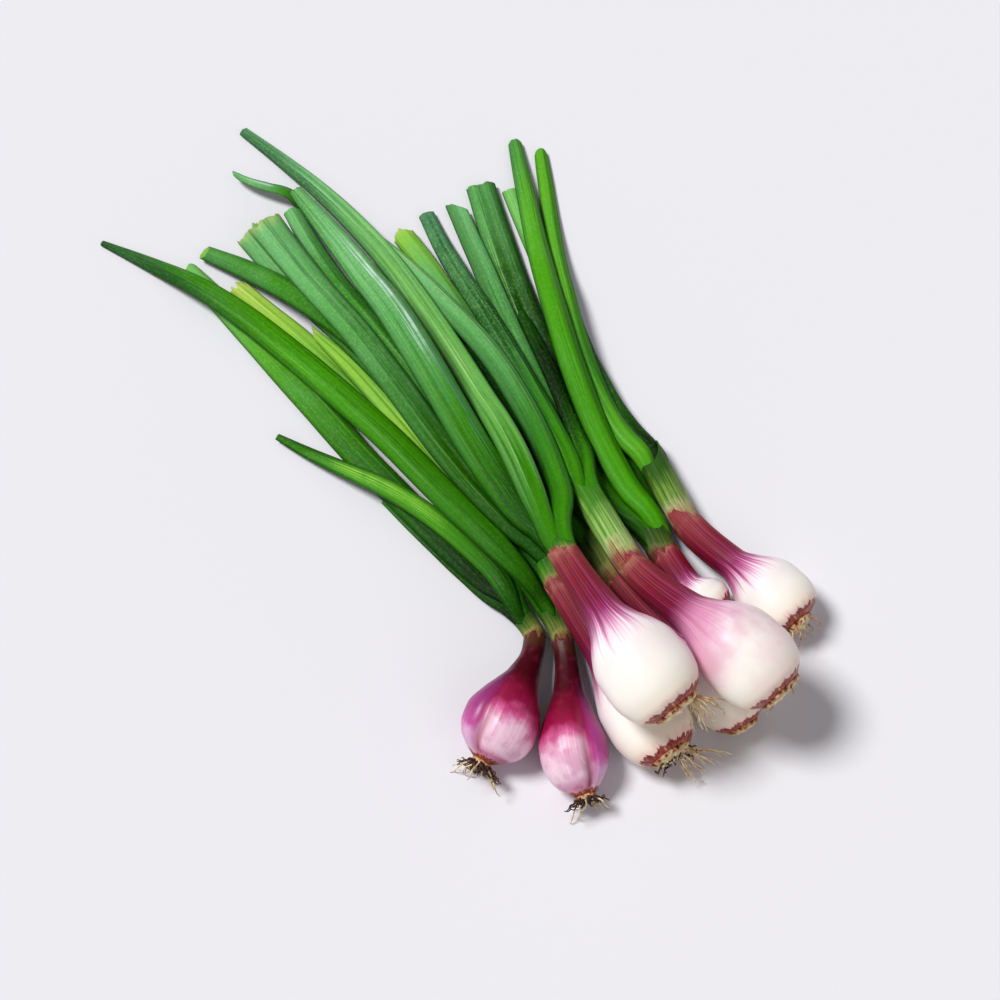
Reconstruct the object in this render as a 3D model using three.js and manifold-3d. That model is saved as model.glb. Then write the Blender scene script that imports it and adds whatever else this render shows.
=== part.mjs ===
// A bunch of eight spring onions lying on a table, in millimetres, +Z up.
// The bulbs are at +X and the leaf tips at -X. Onions c and e lie on top of onions d and h.
// Each onion has a bulb with its dry neck, a green stem that stands in the neck, leaves that
// grow out of the stem's mouth, and a basal plate with its roots.
import * as THREE from "three";
import { mergeVertices } from "three/addons/utils/BufferGeometryUtils.js";
import Module from "manifold-3d";

const wasm = await Module();
wasm.setup();

// ---- Driving dimensions -------------------------------------------------------------------

const TABLE = 0; // height of the surface that the bunch lies on
const TOUCH_GAP = 0.4; // left between two pieces that touch
const LAY_GAP = 0.6; // left between a leaf and the leaves that it lies on
const BULB_FLATTEN = 0.88; // a lying bulb's height over its width

const NECK_WALL = 1; // the dry skin of the neck, round the stem
const NECK_FLARE = 0.5; // how far the neck's dry end stands out
const NECK_SOCKET = 7; // how deep the stem stands in the neck
const STEM_WALL = 0.8; // the outer leaf sheath at the stem's mouth
const STEM_MOUTH = 4; // how deep the leaves stand in the mouth
const CLEAR_OF_MOUTH = STEM_MOUTH + 3; // where a leaf may start to widen and to bend
const LEAF_BASE_WIDTH = 0.76; // a leaf's base over the mouth's inner radius
const LEAF_BASE_HEIGHT = 0.5;
const FLAT_NEAR_STEM = 0.34; // a leaf's thickness over its width, where the bunch is tight
const LEAF_HOLLOW = 14; // how far a cut leaf's hollow is modelled
const LEAF_WALL = 0.7; // round the hollow
const KEEL = 0.18; // how far a leaf's ridge stands up, over its half height
const LEAF_BEND = 0.005; // how sharply a leaf sags under its own weight, per millimetre

const BULB_SIDES = 16;
const STEM_SIDES = 12;
const LEAF_SIDES = 8;
const LEAF_RINGS = 15;
const RING_CROWDING = 1.4; // above 1, the rings stand closer near the stem
const DRAPE_STEPS = 3; // stations to each ring, where a leaf's height is worked out
const ROOT_SIDES = 3;

// Where each onion lies: the middle of its root plate, its bulb, the end of its neck (collar)
// and the mouth of its stem (fork). Widths are the bulb's, the neck's and the root plate's.
// groove is where a double bulb is parted, in degrees round it from its right side.
const ONIONS = {
  a: { skin: "red", root: [98, -62, 10], bulb: [88.5, -48, 13.5], collar: [63, -19, 6.2],
    fork: [54, -18.6, 6.2], width: 31, neck: 9.5, plate: 9, groove: 112.5 },
  b: { skin: "red", root: [129, -34, 9.5], bulb: [113, -30, 11.9], collar: [70, -10, 7.4],
    fork: [57, -8.8, 8], width: 27.5, neck: 9.5, plate: 9, groove: 67.5 },
  d: { skin: "white", root: [132, 2, 14], bulb: [114, 1, 14.4], collar: [51, -1.4, 19.5],
    fork: [44, -1.3, 20.2], width: 33.5, neck: 13, plate: 19 },
  c: { skin: "white", root: [124, 6, 44.4], bulb: [105, 2.5, 47.4], collar: [48, 3, 34],
    fork: [43, 3.5, 33.2], width: 37, neck: 13, plate: 20.5 },
  h: { skin: "white", root: [134, 34, 8.5], bulb: [121, 33.5, 12.6], collar: [58, 22.5, 9],
    fork: [36, 22.2, 8.6], width: 29.5, neck: 13, plate: 15 },
  e: { skin: "white", root: [136, 45, 38.5], bulb: [116, 39.5, 42.4], collar: [62, 26.5, 25],
    fork: [23, 28, 19], width: 36.5, neck: 13.5, plate: 20.5 },
  g: { skin: "white", root: [91, 50.5, 9.8], bulb: [80, 46, 10.2], collar: [58, 45, 8],
    fork: [49, 45.8, 8], width: 23.5, neck: 13.5, plate: 12 },
  f: { skin: "white", root: [110, 75, 13], bulb: [94, 71.9, 13.3], collar: [52, 60.5, 9],
    fork: [22, 62.3, 8], width: 31, neck: 13.5, plate: 13.5 },
};

// A bulb's outline from root to collar: share of its length, and of its half width.
const BULB_OUTLINE = {
  red: [[0.05, 0.58], [0.12, 0.85], [0.21, 0.98], [0.31, 1], [0.42, 0.86], [0.54, 0.65], [0.67, 0.45]],
  white: [[0.03, 0.74], [0.09, 0.92], [0.18, 1], [0.3, 0.97], [0.4, 0.81], [0.49, 0.6], [0.6, 0.45]],
};

// How each onion's live roots leave the plate: how many, how long and how thick they are,
// which way they are drawn to the right and how far they fan out, as shares of their length,
// where on the plate they start, from 0 in its middle to 1 at its right edge, and how far
// they hang down.
const LIVE_ROOTS = {
  a: { count: 14, length: 12, thick: 0.7, right: 0, fan: 1.1, start: 0, hang: 8, seed: 11 },
  b: { count: 12, length: 10, thick: 0.7, right: 0, fan: 1, start: 0, hang: 7, seed: 23 },
  c: { count: 12, length: 13, thick: 0.5, right: 0.25, fan: 0.45, start: 0.7, hang: 14, seed: 31 },
  d: { count: 9, length: 14, thick: 0.5, right: 0.3, fan: 0.6, start: 0.5, hang: 10, seed: 47 },
  f: { count: 6, length: 9, thick: 0.5, right: 0, fan: 0.7, start: 0, hang: 9, seed: 83 },
};

// The leaves, in the order in which they lie, from the table up. Each runs from its seat in
// its onion's mouth to its tip. bow is how far its middle swings to the left of the straight
// line from seat to tip, looking towards the tip, and lean moves that swing towards the tip.
// width is its widest, at the share "at" of its length, end is its tip's width, and flat is
// its thickness over its width.
const LEFT = [-0.45, 0];
const RIGHT = [0.45, 0];
const LOW_LEFT = [-0.44, -0.34];
const LOW_RIGHT = [0.44, -0.34];
const HIGH_LEFT = [-0.44, 0.36];
const HIGH_RIGHT = [0.44, 0.36];
const HIGH = [0, 0.46];
const LOW = [0, -0.44];
const C_BROAD_STRIP = {
  points: [[9, -1.5, 0], [0, -3, -0.6], [-9, -10, -1.6], [-16, -15.5, -2.4], [-24, -20, -3.4]],
  width: 5, thickness: 1.3,
};
const LEAVES = [
  { onion: "a", name: "short", seat: LOW_LEFT, tip: [-23, -42], bow: 0, lean: 0,
    width: 7, at: 0.4, end: 5, flat: 0.46 },
  { onion: "a", name: "outer", seat: LOW_RIGHT, tip: [-166, -67], bow: 2.5, lean: -3,
    width: 12.8, at: 0.5, end: 8, flat: 0.46 },
  { onion: "a", name: "right", seat: HIGH_RIGHT, tip: [-108, -38], bow: -6.5, lean: 3,
    width: 10, at: 0.3, end: 6, flat: 0.46 },
  { onion: "a", name: "light", seat: [-0.36, 0.36], tip: [-71, -69], bow: -10.5, lean: 6,
    width: 9, at: 0.3, end: 3, flat: 0.5, closed: true },
  { onion: "g", name: "back", seat: LOW_RIGHT, tip: [-133, 78.5], bow: -0.5, lean: 0,
    width: 9, at: 0.7, end: 7, flat: 0.48 },
  { onion: "f", name: "short", seat: RIGHT, tip: [-67, 72], bow: 5, lean: 1,
    width: 7.7, at: 0.3, end: 6, flat: 0.46 },
  { onion: "g", name: "broad", seat: LOW_LEFT, tip: [-141, 68], bow: 6.5, lean: 0,
    width: 14.4, at: 0.7, end: 13.6, flat: 0.36 },
  { onion: "g", name: "bright", seat: HIGH_LEFT, tip: [-136, 53], bow: 9, lean: -4,
    width: 10.7, at: 0.23, end: 9, flat: 0.46 },
  { onion: "h", name: "under", seat: LOW, tip: [-126, 18], bow: -1, lean: 0,
    width: 9, at: 0.4, end: 6.5, flat: 0.46 },
  { onion: "h", name: "inner", seat: HIGH_RIGHT, tip: [-136, 24.5], bow: -4, lean: -1,
    width: 9.6, at: 0.5, end: 10.4, flat: 0.42, pale: true },
  { onion: "b", name: "ragged", seat: LOW_LEFT, tip: [-146.5, -51.5], bow: -7, lean: 0,
    width: 9.8, at: 0.45, end: 8.5, flat: 0.42, pale: true },
  { onion: "b", name: "yellow", seat: LOW_RIGHT, tip: [-105.5, -34], bow: -1.5, lean: -4,
    width: 9.6, at: 0.55, end: 4.2, flat: 0.46, pale: true },
  { onion: "b", name: "long", seat: HIGH, tip: [-198, -95], bow: -14, lean: -7,
    width: 12.8, at: 0.46, end: 2.8, flat: 0.46 },
  { onion: "d", name: "back", seat: LOW_LEFT, tip: [-169, -35.5], bow: -3.5, lean: 4,
    width: 12, at: 0.8, end: 13, flat: 0.42 },
  { onion: "d", name: "curled", seat: LOW_RIGHT, tip: [-169, -57], bow: -11.5, lean: -11,
    width: 11, at: 0.68, end: 7.4, flat: 0.46 },
  { onion: "h", name: "outer", seat: HIGH_LEFT, tip: [-168, -14], bow: 13.2, lean: -2,
    width: 10, at: 0.6, end: 8, flat: 0.46 },
  { onion: "e", name: "under", seat: RIGHT, tip: [-72, 50], bow: -3, lean: 0,
    width: 7, at: 0.4, end: 4.5, flat: 0.46 },
  { onion: "e", name: "dark", seat: LEFT, tip: [-140, 39.5], bow: -2.5, lean: 4,
    width: 10, at: 0.3, end: 7.4, flat: 0.46 },
  { onion: "d", name: "broad", seat: HIGH, tip: [-164, -28.5], bow: 4, lean: -2,
    width: 12.6, at: 0.5, end: 16, flat: 0.38 },
  { onion: "c", name: "silver", seat: LOW_RIGHT, tip: [-127, 5], bow: -6, lean: 0,
    width: 8, at: 0.43, end: 6.5, flat: 0.46 },
  { onion: "f", name: "long", seat: LEFT, tip: [-146, 102], bow: 12, lean: -6,
    width: 8.4, at: 0.35, end: 6, flat: 0.46 },
  { onion: "c", name: "broad", seat: LOW_LEFT, tip: [-176, -8], bow: 0, lean: -6,
    width: 14.5, at: 0.4, end: 6.2, flat: 0.38, torn: C_BROAD_STRIP },
  { onion: "g", name: "long", seat: HIGH_RIGHT, tip: [-156, 94], bow: 12, lean: -5,
    width: 11.2, at: 0.2, end: 6.4, flat: 0.46 },
  { onion: "c", name: "right", seat: HIGH_RIGHT, tip: [-166, 4], bow: -21.5, lean: 6,
    width: 10.8, at: 0.3, end: 5, flat: 0.46 },
  { onion: "c", name: "long", seat: HIGH_LEFT, tip: [-222, -13], bow: -19, lean: -4,
    width: 11.8, at: 0.24, end: 4.8, flat: 0.46 },
];

const COLOURS = {
  red: { color: 0x8c1f4c, roughness: 0.35 },
  white: { color: 0xf1e2de, roughness: 0.4 },
  stem: { color: 0x9cbf6b, roughness: 0.5 },
  leaf: { color: 0x3f8f3a, roughness: 0.45 },
  paleLeaf: { color: 0x9cc23c, roughness: 0.45 },
  root: { color: 0x8a5a3c, roughness: 0.9 },
};

// ---- Helpers ------------------------------------------------------------------------------

const UP = new THREE.Vector3(0, 0, 1);
const vector = ([x, y, z]) => new THREE.Vector3(x, y, z);
const clamp01 = (t) => Math.min(1, Math.max(0, t));
const ease = (t) => t * t * (3 - 2 * t);
const mix = (from, to, t) => from + (to - from) * t;

// A seeded random number from 0 to 1, the same in every run.
function randomFrom(seed) {
  let state = seed;
  return () => {
    state = (state * 16807) % 2147483647;
    return state / 2147483647;
  };
}

// Moves every vertex of a geometry. Nothing goes below the table, so what rests is flat there.
function shaped(geometry, move) {
  const bare = new THREE.BufferGeometry();
  bare.setIndex(geometry.index);
  bare.setAttribute("position", geometry.getAttribute("position").clone());
  const place = bare.getAttribute("position");
  for (let i = 0; i < place.count; i++) {
    const point = move(new THREE.Vector3().fromBufferAttribute(place, i));
    place.setXYZ(i, point.x, point.y, Math.max(TABLE, point.z));
  }
  return mergeVertices(bare, 1e-3);
}

function solidOf(geometry) {
  const mesh = new wasm.Mesh({
    numProp: 3,
    vertProperties: geometry.getAttribute("position").array,
    triVerts: new Uint32Array(geometry.index.array),
  });
  return new wasm.Manifold(mesh);
}

// Joins closed geometries that run into each other.
function joined(geometries) {
  const solid = geometries.map(solidOf).reduce((all, next) => all.add(next));
  const mesh = solid.getMesh();
  const geometry = new THREE.BufferGeometry();
  geometry.setAttribute("position", new THREE.BufferAttribute(mesh.vertProperties, 3));
  geometry.setIndex(new THREE.BufferAttribute(mesh.triVerts, 1));
  return geometry;
}

function piece(name, geometry, look) {
  geometry.computeVertexNormals();
  const material = new THREE.MeshStandardMaterial({ ...COLOURS[look], metalness: 0 });
  const mesh = new THREE.Mesh(geometry, material);
  mesh.name = name;
  return mesh;
}

// A place on a curve, at the share t of its length, with the way ahead, to the right and up.
function frameAt(curve, t) {
  const ahead = curve.getTangentAt(clamp01(t)).normalize();
  const right = new THREE.Vector3().crossVectors(ahead, UP).normalize();
  const above = new THREE.Vector3().crossVectors(right, ahead);
  return { middle: curve.getPointAt(clamp01(t)), ahead, right, above };
}

const offset = ({ middle, right, above }, across, up) => (
  middle.clone().addScaledVector(right, across).addScaledVector(above, up));

// ---- Bulb and stem ------------------------------------------------------------------------

// A line through the middle of an onion, from its root plate to its stem's mouth.
function axisOf(onion) {
  const points = [onion.root, onion.bulb, onion.collar, onion.fork].map(vector);
  const line = new THREE.CatmullRomCurve3(points, false, "centripetal");
  const lengths = line.getLengths(300);
  return { line, total: lengths[300], toCollar: lengths[200] };
}

// A turned outline, as radius and distance along the axis, laid along a stretch of the axis.
// It starts half a side round, so that what lies on the table lies on a side, not on an edge.
function turnedAlong(axis, outline, sides, sizeAt) {
  const profile = outline.map(([radius, along]) => new THREE.Vector2(radius, along));
  return shaped(new THREE.LatheGeometry(profile, sides, Math.PI / sides), (point) => {
    const radius = Math.hypot(point.x, point.z);
    const turn = Math.atan2(point.z, point.x);
    const { wide, high } = sizeAt(turn, point.y);
    const frame = frameAt(axis.line, point.y / axis.total);
    return offset(frame, radius * wide * Math.cos(turn), radius * high * Math.sin(turn));
  });
}

// The bulb and its neck, flattened a little where it lies, with a socket for the stem.
function bulbOf(onion, axis) {
  const length = axis.toCollar;
  const neck = onion.neck / 2;
  const bulge = BULB_OUTLINE[onion.skin].map(([along, wide]) => (
    [Math.max(neck, wide * onion.width / 2), along * length]));
  const outline = [
    [0, 0],
    [onion.plate / 2, 0],
    ...bulge,
    [neck, length - NECK_SOCKET],
    [neck + NECK_FLARE, length],
    [neck - NECK_WALL, length],
    [neck - NECK_WALL, length - NECK_SOCKET],
    [0, length - NECK_SOCKET],
  ];
  const GROOVE_DEPTH = 0.2;
  const GROOVE_HALF_ANGLE = 14;
  return turnedAlong(axis, outline, BULB_SIDES, (turn, along) => {
    const inBulb = ease(clamp01(1 - along / (0.6 * length)));
    const flatten = mix(1, BULB_FLATTEN, inBulb);
    if (!onion.groove) return { wide: 1, high: flatten };
    const fromGroove = (Math.abs(THREE.MathUtils.radToDeg(turn)) - onion.groove) / GROOVE_HALF_ANGLE;
    const parted = 1 - GROOVE_DEPTH * inBulb * Math.exp(-(fromGroove ** 2));
    return { wide: parted, high: parted * flatten };
  });
}

const mouthRadius = (onion) => onion.neck / 2 - 0.3 - STEM_WALL;

// The green stem: it stands in the neck's socket, and its mouth holds the leaves.
function stemOf(onion, axis) {
  const start = axis.toCollar - NECK_SOCKET + TOUCH_GAP;
  const end = axis.total;
  const inner = onion.neck / 2 - NECK_WALL - TOUCH_GAP;
  const mouth = mouthRadius(onion);
  const outline = [
    [0, start],
    [inner, start],
    [inner, axis.toCollar + TOUCH_GAP],
    [mouth + STEM_WALL, axis.toCollar + 3],
    [mouth + STEM_WALL, end],
    [mouth, end],
    [mouth, end - STEM_MOUTH],
    [0, end - STEM_MOUTH],
  ];
  return turnedAlong(axis, outline, STEM_SIDES, () => ({ wide: 1, high: 1 }));
}

// ---- Leaves -------------------------------------------------------------------------------

// A leaf's half width at a distance from its seat: even in the mouth, then it widens quickly,
// and it narrows towards its end.
function halfWidth(leaf, along) {
  const widest = leaf.at * leaf.length;
  const started = clamp01((along - CLEAR_OF_MOUTH) / (widest - CLEAR_OF_MOUTH));
  const grown = 1 - (1 - started) ** 5;
  const spent = clamp01((along - widest) / (leaf.length - widest)) ** 3;
  return (mix(leaf.base, leaf.width, grown) + (leaf.end - leaf.width) * spent) / 2;
}

function halfHeight(leaf, along) {
  const spread = ease(clamp01(along / leaf.length / 0.6));
  const flat = mix(Math.min(FLAT_NEAR_STEM, leaf.flat), leaf.flat, spread);
  const base = leaf.base * LEAF_BASE_HEIGHT / LEAF_BASE_WIDTH;
  return Math.max(base, 2 * halfWidth(leaf, along) * flat) / 2;
}

// A leaf's route, seen from above: straight out of the stem, then bowed towards its tip.
// The heights of its first stations are the mouth's, and the others are left open.
function routeOf(leaf, onion, axis) {
  const frame = frameAt(axis.line, 1 - (STEM_MOUTH - TOUCH_GAP) / axis.total);
  const mouth = mouthRadius(onion);
  const seat = offset(frame, leaf.seat[0] * mouth, leaf.seat[1] * mouth);
  const chord = new THREE.Vector2(leaf.tip[0] - seat.x, leaf.tip[1] - seat.y);
  const left = new THREE.Vector2(-chord.y, chord.x).normalize();
  leaf.length = chord.length();
  leaf.base = LEAF_BASE_WIDTH * mouth;
  const STRAIGHT = 20;
  const last = (LEAF_RINGS - 1) * DRAPE_STEPS;
  return Array.from({ length: last + 1 }, (_, i) => {
    const t = (i / last) ** RING_CROWDING;
    const along = t * leaf.length;
    const swing = 4 * t * (1 - t) * (leaf.bow + leaf.lean * (2 * t - 1));
    const bowed = ease(clamp01((along - STEM_MOUTH) / STRAIGHT));
    return {
      along,
      x: mix(seat.x + frame.ahead.x * along, seat.x + chord.x * t + left.x * swing, bowed),
      y: mix(seat.y + frame.ahead.y * along, seat.y + chord.y * t + left.y * swing, bowed),
      z: seat.z + frame.ahead.z * along,
      held: along < CLEAR_OF_MOUTH,
      half: halfWidth(leaf, along),
      high: halfHeight(leaf, along),
    };
  });
}

// A place between two stations of a route.
function between(from, to, t) {
  const place = {};
  for (const name of ["x", "y", "z", "half", "high"]) place[name] = mix(from[name], to[name], t);
  return place;
}

// A leaf is straight from ring to ring, so the stations between two rings lie on a line.
function straighten(route) {
  for (let i = 0; i < route.length - 1; i++) {
    const start = i - (i % DRAPE_STEPS);
    const from = route[start];
    const to = route[start + DRAPE_STEPS];
    Object.assign(route[i], between(from, to, (route[i].along - from.along) / (to.along - from.along)));
  }
}

// How high a station's middle has to be to lie on the table and on what was laid before.
function restingHeight(station, laid) {
  let height = TABLE + station.high;
  for (const route of laid) {
    for (let i = 1; i < route.length; i++) {
      const from = route[i - 1];
      const run = { x: route[i].x - from.x, y: route[i].y - from.y };
      const off = { x: station.x - from.x, y: station.y - from.y };
      const t = clamp01((off.x * run.x + off.y * run.y) / (run.x ** 2 + run.y ** 2));
      const under = between(from, route[i], t);
      const apart = Math.hypot(station.x - under.x, station.y - under.y) / (station.half + under.half);
      if (apart < 1) {
        const rise = station.high + (1 + KEEL) * under.high + LAY_GAP;
        height = Math.max(height, under.z + rise * Math.sqrt(1 - apart ** 2));
      }
    }
  }
  return height;
}

// Lays a leaf on what is under it: it spans from one support to the next and sags a little.
function drape(route, laid) {
  const last = route.length - 1;
  const SETTLE_TURNS = 1500;
  const LIFT_TURNS = 60;
  const TIP_DROOP = 0.05;
  straighten(route);
  for (const station of route) {
    station.lowest = station.held ? station.z : restingHeight(station, laid);
    station.z = Math.max(station.z, station.lowest);
  }
  for (let turn = 0; turn < SETTLE_TURNS; turn++) {
    for (let i = 1; i <= last; i++) {
      const here = route[i];
      if (here.held) continue;
      const before = route[i - 1];
      const after = route[i + 1];
      const back = here.along - before.along;
      let hangs = before.z - TIP_DROOP * back;
      if (after) {
        const ahead = after.along - here.along;
        const sag = LEAF_BEND * back * ahead / 2;
        hangs = (before.z * ahead + after.z * back) / (back + ahead) - sag;
      }
      here.z = Math.max(here.lowest, hangs);
    }
  }
  for (let turn = 0; turn < LIFT_TURNS; turn++) {
    straighten(route);
    for (let i = 1; i < last; i++) {
      const short = route[i].lowest - route[i].z;
      const start = i - (i % DRAPE_STEPS);
      if (short <= 0 || route[start].held) continue;
      route[start].z += short / 2;
      route[start + DRAPE_STEPS].z += short / 2;
    }
  }
}

const HOLLOW = 0.5; // marks the hollow's rings in a leaf's outline

// The leaf's solid: a flattened tube along its route, with a low ridge, hollow at a cut end.
function leafSolid(leaf, route) {
  const rings = route.filter((_, i) => i % DRAPE_STEPS === 0);
  const points = rings.map(({ x, y, z }) => new THREE.Vector3(x, y, z));
  const line = new THREE.CatmullRomCurve3(points);
  line.arcLengthDivisions = 60 * LEAF_RINGS;
  const lengths = line.getLengths();
  const total = lengths[lengths.length - 1];
  const outline = rings.map((_, i) => (
    new THREE.Vector2(1, lengths[Math.round(i * line.arcLengthDivisions / (rings.length - 1))])));
  outline.unshift(new THREE.Vector2(0, 0));
  if (leaf.closed) {
    outline.push(new THREE.Vector2(0, total));
  } else {
    outline.push(new THREE.Vector2(HOLLOW, total));
    outline.push(new THREE.Vector2(HOLLOW, total - LEAF_HOLLOW));
    outline.push(new THREE.Vector2(0, total - LEAF_HOLLOW));
  }
  return shaped(new THREE.LatheGeometry(outline, LEAF_SIDES), (point) => {
    const radius = Math.hypot(point.x, point.z);
    const across = radius && point.x / radius;
    const up = radius && point.z / radius;
    const along = (point.y / total) * leaf.length;
    const wall = radius < 1 ? LEAF_WALL : 0;
    const wide = halfWidth(leaf, along) - wall;
    const high = halfHeight(leaf, along) - wall;
    const ridge = KEEL * Math.max(0, up) ** 4;
    return offset(frameAt(line, point.y / total), across * wide, (up + ridge) * high);
  });
}

// A strip torn from a leaf's end: flat, and joined to the leaf that it is torn from.
function tornStrip({ points, width, thickness }, tip) {
  const line = new THREE.CatmullRomCurve3(points.map((point) => vector(point).add(tip)));
  return shaped(new THREE.CylinderGeometry(1, 1, 1, LEAF_SIDES, 5), (point) => {
    const t = clamp01(point.y + 0.5);
    const half = mix(width, 0.6 * width, t) / 2;
    return offset(frameAt(line, t), point.x * half, point.z * thickness / 2);
  });
}

// ---- Roots --------------------------------------------------------------------------------

// A tapered strand along a curve.
function strand(curve, thick, thin, steps) {
  return shaped(new THREE.CylinderGeometry(1, 1, 1, ROOT_SIDES, steps), (point) => {
    const t = clamp01(point.y + 0.5);
    const radius = mix(thick, thin, t);
    return offset(frameAt(curve, t), point.x * radius, point.z * radius);
  });
}

// The frame at an onion's root plate. out points away from the bulb.
function rootFrame(axis) {
  const frame = frameAt(axis.line, 0);
  return { ...frame, out: frame.ahead.clone().negate() };
}

// The basal plate, just clear of the bulb.
function plateOf(onion, frame, thickness) {
  const radius = onion.plate / 2 - 0.5;
  const disc = new THREE.CylinderGeometry(radius, 0.8 * radius, thickness, BULB_SIDES);
  return shaped(disc, (point) => {
    const away = TOUCH_GAP + thickness / 2 - point.y;
    return offset(frame, point.x, point.z * BULB_FLATTEN).addScaledVector(frame.out, away);
  });
}

// Cut roots: a ring of stubs near the plate's rim, and a few more inside it.
function stubsOf(onion, frame, thickness, random) {
  const radius = onion.plate / 2;
  const rows = [[0.84, 12, 2.6], [0.42, 4, 1.6]];
  return rows.flatMap(([share, count, tall]) => Array.from({ length: count }, (_, i) => {
    const turn = ((i + 0.5 * random()) / count) * 2 * Math.PI;
    const across = radius * share * Math.cos(turn);
    const up = radius * share * Math.sin(turn) * BULB_FLATTEN;
    const rise = 0.6 * thickness + tall * (0.5 + 0.7 * random());
    const foot = offset(frame, across, up).addScaledVector(frame.out, TOUCH_GAP + 0.4 * thickness);
    const head = foot.clone().addScaledVector(frame.out, rise)
      .addScaledVector(frame.right, 0.12 * across).addScaledVector(frame.above, 0.12 * up);
    const width = 0.1 * radius + 0.35 + 0.3 * random();
    return strand(new THREE.LineCurve3(foot, head), width, 0.45 * width, 1);
  }));
}

// Live roots: strands that leave the plate, fan out and hang down towards the table.
function liveRootsOf(onion, frame, roots, random) {
  const radius = onion.plate / 2;
  return Array.from({ length: roots.count }, (_, i) => {
    const turn = ((i + 0.6 * random()) / roots.count) * 2 * Math.PI;
    const ring = radius * (1 - roots.start) * (0.35 + 0.35 * random());
    const reach = roots.length * (0.65 + 0.5 * random());
    const fan = roots.fan * (0.4 + 0.8 * random());
    const bend = 0.5 + random();
    const foot = offset(frame, roots.start * radius + ring * Math.cos(turn), ring * Math.sin(turn))
      .addScaledVector(frame.out, TOUCH_GAP + 0.8);
    const points = [0, 0.33, 0.66, 1].map((t) => {
      const across = (roots.right * t + fan * Math.cos(turn) * t * (1.3 - 0.5 * t)) * reach;
      const up = fan * Math.sin(turn) * t * (1 - 0.6 * t) * reach - roots.hang * bend * t * t;
      const point = offset({ ...frame, middle: foot }, across, up)
        .addScaledVector(frame.out, reach * t * (1 - 0.3 * t));
      point.z = Math.max(TABLE + roots.thick * (1 + 2 * random()), point.z);
      return point;
    });
    return strand(new THREE.CatmullRomCurve3(points), roots.thick, 0.6 * roots.thick, 3);
  });
}

function rootsOf(key, onion, axis) {
  const frame = rootFrame(axis);
  const live = LIVE_ROOTS[key];
  const random = randomFrom(live ? live.seed : onion.width * 7);
  const thickness = 2.2;
  const parts = [plateOf(onion, frame, thickness)];
  if (onion.skin === "white") parts.push(...stubsOf(onion, frame, thickness, random));
  if (live) parts.push(...liveRootsOf(onion, frame, live, random));
  return joined(parts);
}

// ---- The bunch ----------------------------------------------------------------------------

const bunch = new THREE.Group();
const axes = {};
for (const [key, onion] of Object.entries(ONIONS)) {
  const axis = axisOf(onion);
  axes[key] = axis;
  bunch.add(piece(`onion_${key}_bulb`, bulbOf(onion, axis), onion.skin));
  bunch.add(piece(`onion_${key}_stem`, stemOf(onion, axis), "stem"));
  bunch.add(piece(`onion_${key}_roots`, rootsOf(key, onion, axis), "root"));
}

// What a stem takes up, as stations that a leaf of another onion can lie on.
function stemStations(key) {
  const { line, total, toCollar } = axes[key];
  const size = ONIONS[key].neck / 2;
  return Array.from({ length: 12 }, (_, i) => {
    const { x, y, z } = line.getPointAt(mix(toCollar - NECK_SOCKET, total, i / 11) / total);
    return { x, y, z, half: size, high: size };
  });
}

const laid = [];
for (const leaf of LEAVES) {
  const key = leaf.onion;
  if (!laid.some(({ owner }) => owner === key)) laid.push({ owner: key, route: stemStations(key) });
  const route = routeOf(leaf, ONIONS[key], axes[key]);
  drape(route, laid.filter(({ owner }) => owner !== key).map((under) => under.route));
  laid.push({ route });
  const whole = leafSolid(leaf, route);
  const solid = leaf.torn ? joined([whole, tornStrip(leaf.torn, route[route.length - 1])]) : whole;
  bunch.add(piece(`onion_${key}_leaf_${leaf.name}`, solid, leaf.pale ? "paleLeaf" : "leaf"));
}

// The part's origin is on the table, in the middle of the bunch's footprint.
const centre = new THREE.Box3().setFromObject(bunch).getCenter(new THREE.Vector3());
bunch.position.set(-centre.x, -centre.y, 0);

const part = new THREE.Group();
part.add(bunch);
export default part;
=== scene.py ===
# %% [markdown]
# # A bunch of spring onions
# Eight spring onions lie together on a table: two small ones with dark red skin and six with
# white skin and purple necks. The solids give every piece its size and its place. This lesson
# gives each of them its finer form and its finish, and works from the big shapes to the small.

# %% Load the solids
import math
import random

import bpy
import numpy as np
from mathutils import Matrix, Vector


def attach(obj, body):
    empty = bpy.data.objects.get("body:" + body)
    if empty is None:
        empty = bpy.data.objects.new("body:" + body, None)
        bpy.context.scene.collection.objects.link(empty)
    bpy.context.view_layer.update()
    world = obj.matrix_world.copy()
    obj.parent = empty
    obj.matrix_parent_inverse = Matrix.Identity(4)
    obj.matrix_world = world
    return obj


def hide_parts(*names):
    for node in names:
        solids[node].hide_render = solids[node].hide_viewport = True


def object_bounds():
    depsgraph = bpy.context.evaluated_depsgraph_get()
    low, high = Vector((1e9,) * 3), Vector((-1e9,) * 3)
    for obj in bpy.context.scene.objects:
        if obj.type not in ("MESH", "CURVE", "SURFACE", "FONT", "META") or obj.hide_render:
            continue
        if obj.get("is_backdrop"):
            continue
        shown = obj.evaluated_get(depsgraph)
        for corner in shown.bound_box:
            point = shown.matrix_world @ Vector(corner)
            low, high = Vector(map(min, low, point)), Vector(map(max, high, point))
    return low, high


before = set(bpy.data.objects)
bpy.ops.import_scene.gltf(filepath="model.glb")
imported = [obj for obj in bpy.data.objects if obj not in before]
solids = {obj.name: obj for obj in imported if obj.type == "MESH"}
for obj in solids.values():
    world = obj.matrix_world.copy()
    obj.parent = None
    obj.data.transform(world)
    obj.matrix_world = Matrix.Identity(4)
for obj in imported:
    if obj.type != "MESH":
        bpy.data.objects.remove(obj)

MM = 0.001
ONIONS = "abcdefgh"
UP = Vector((0, 0, 1))
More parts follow.
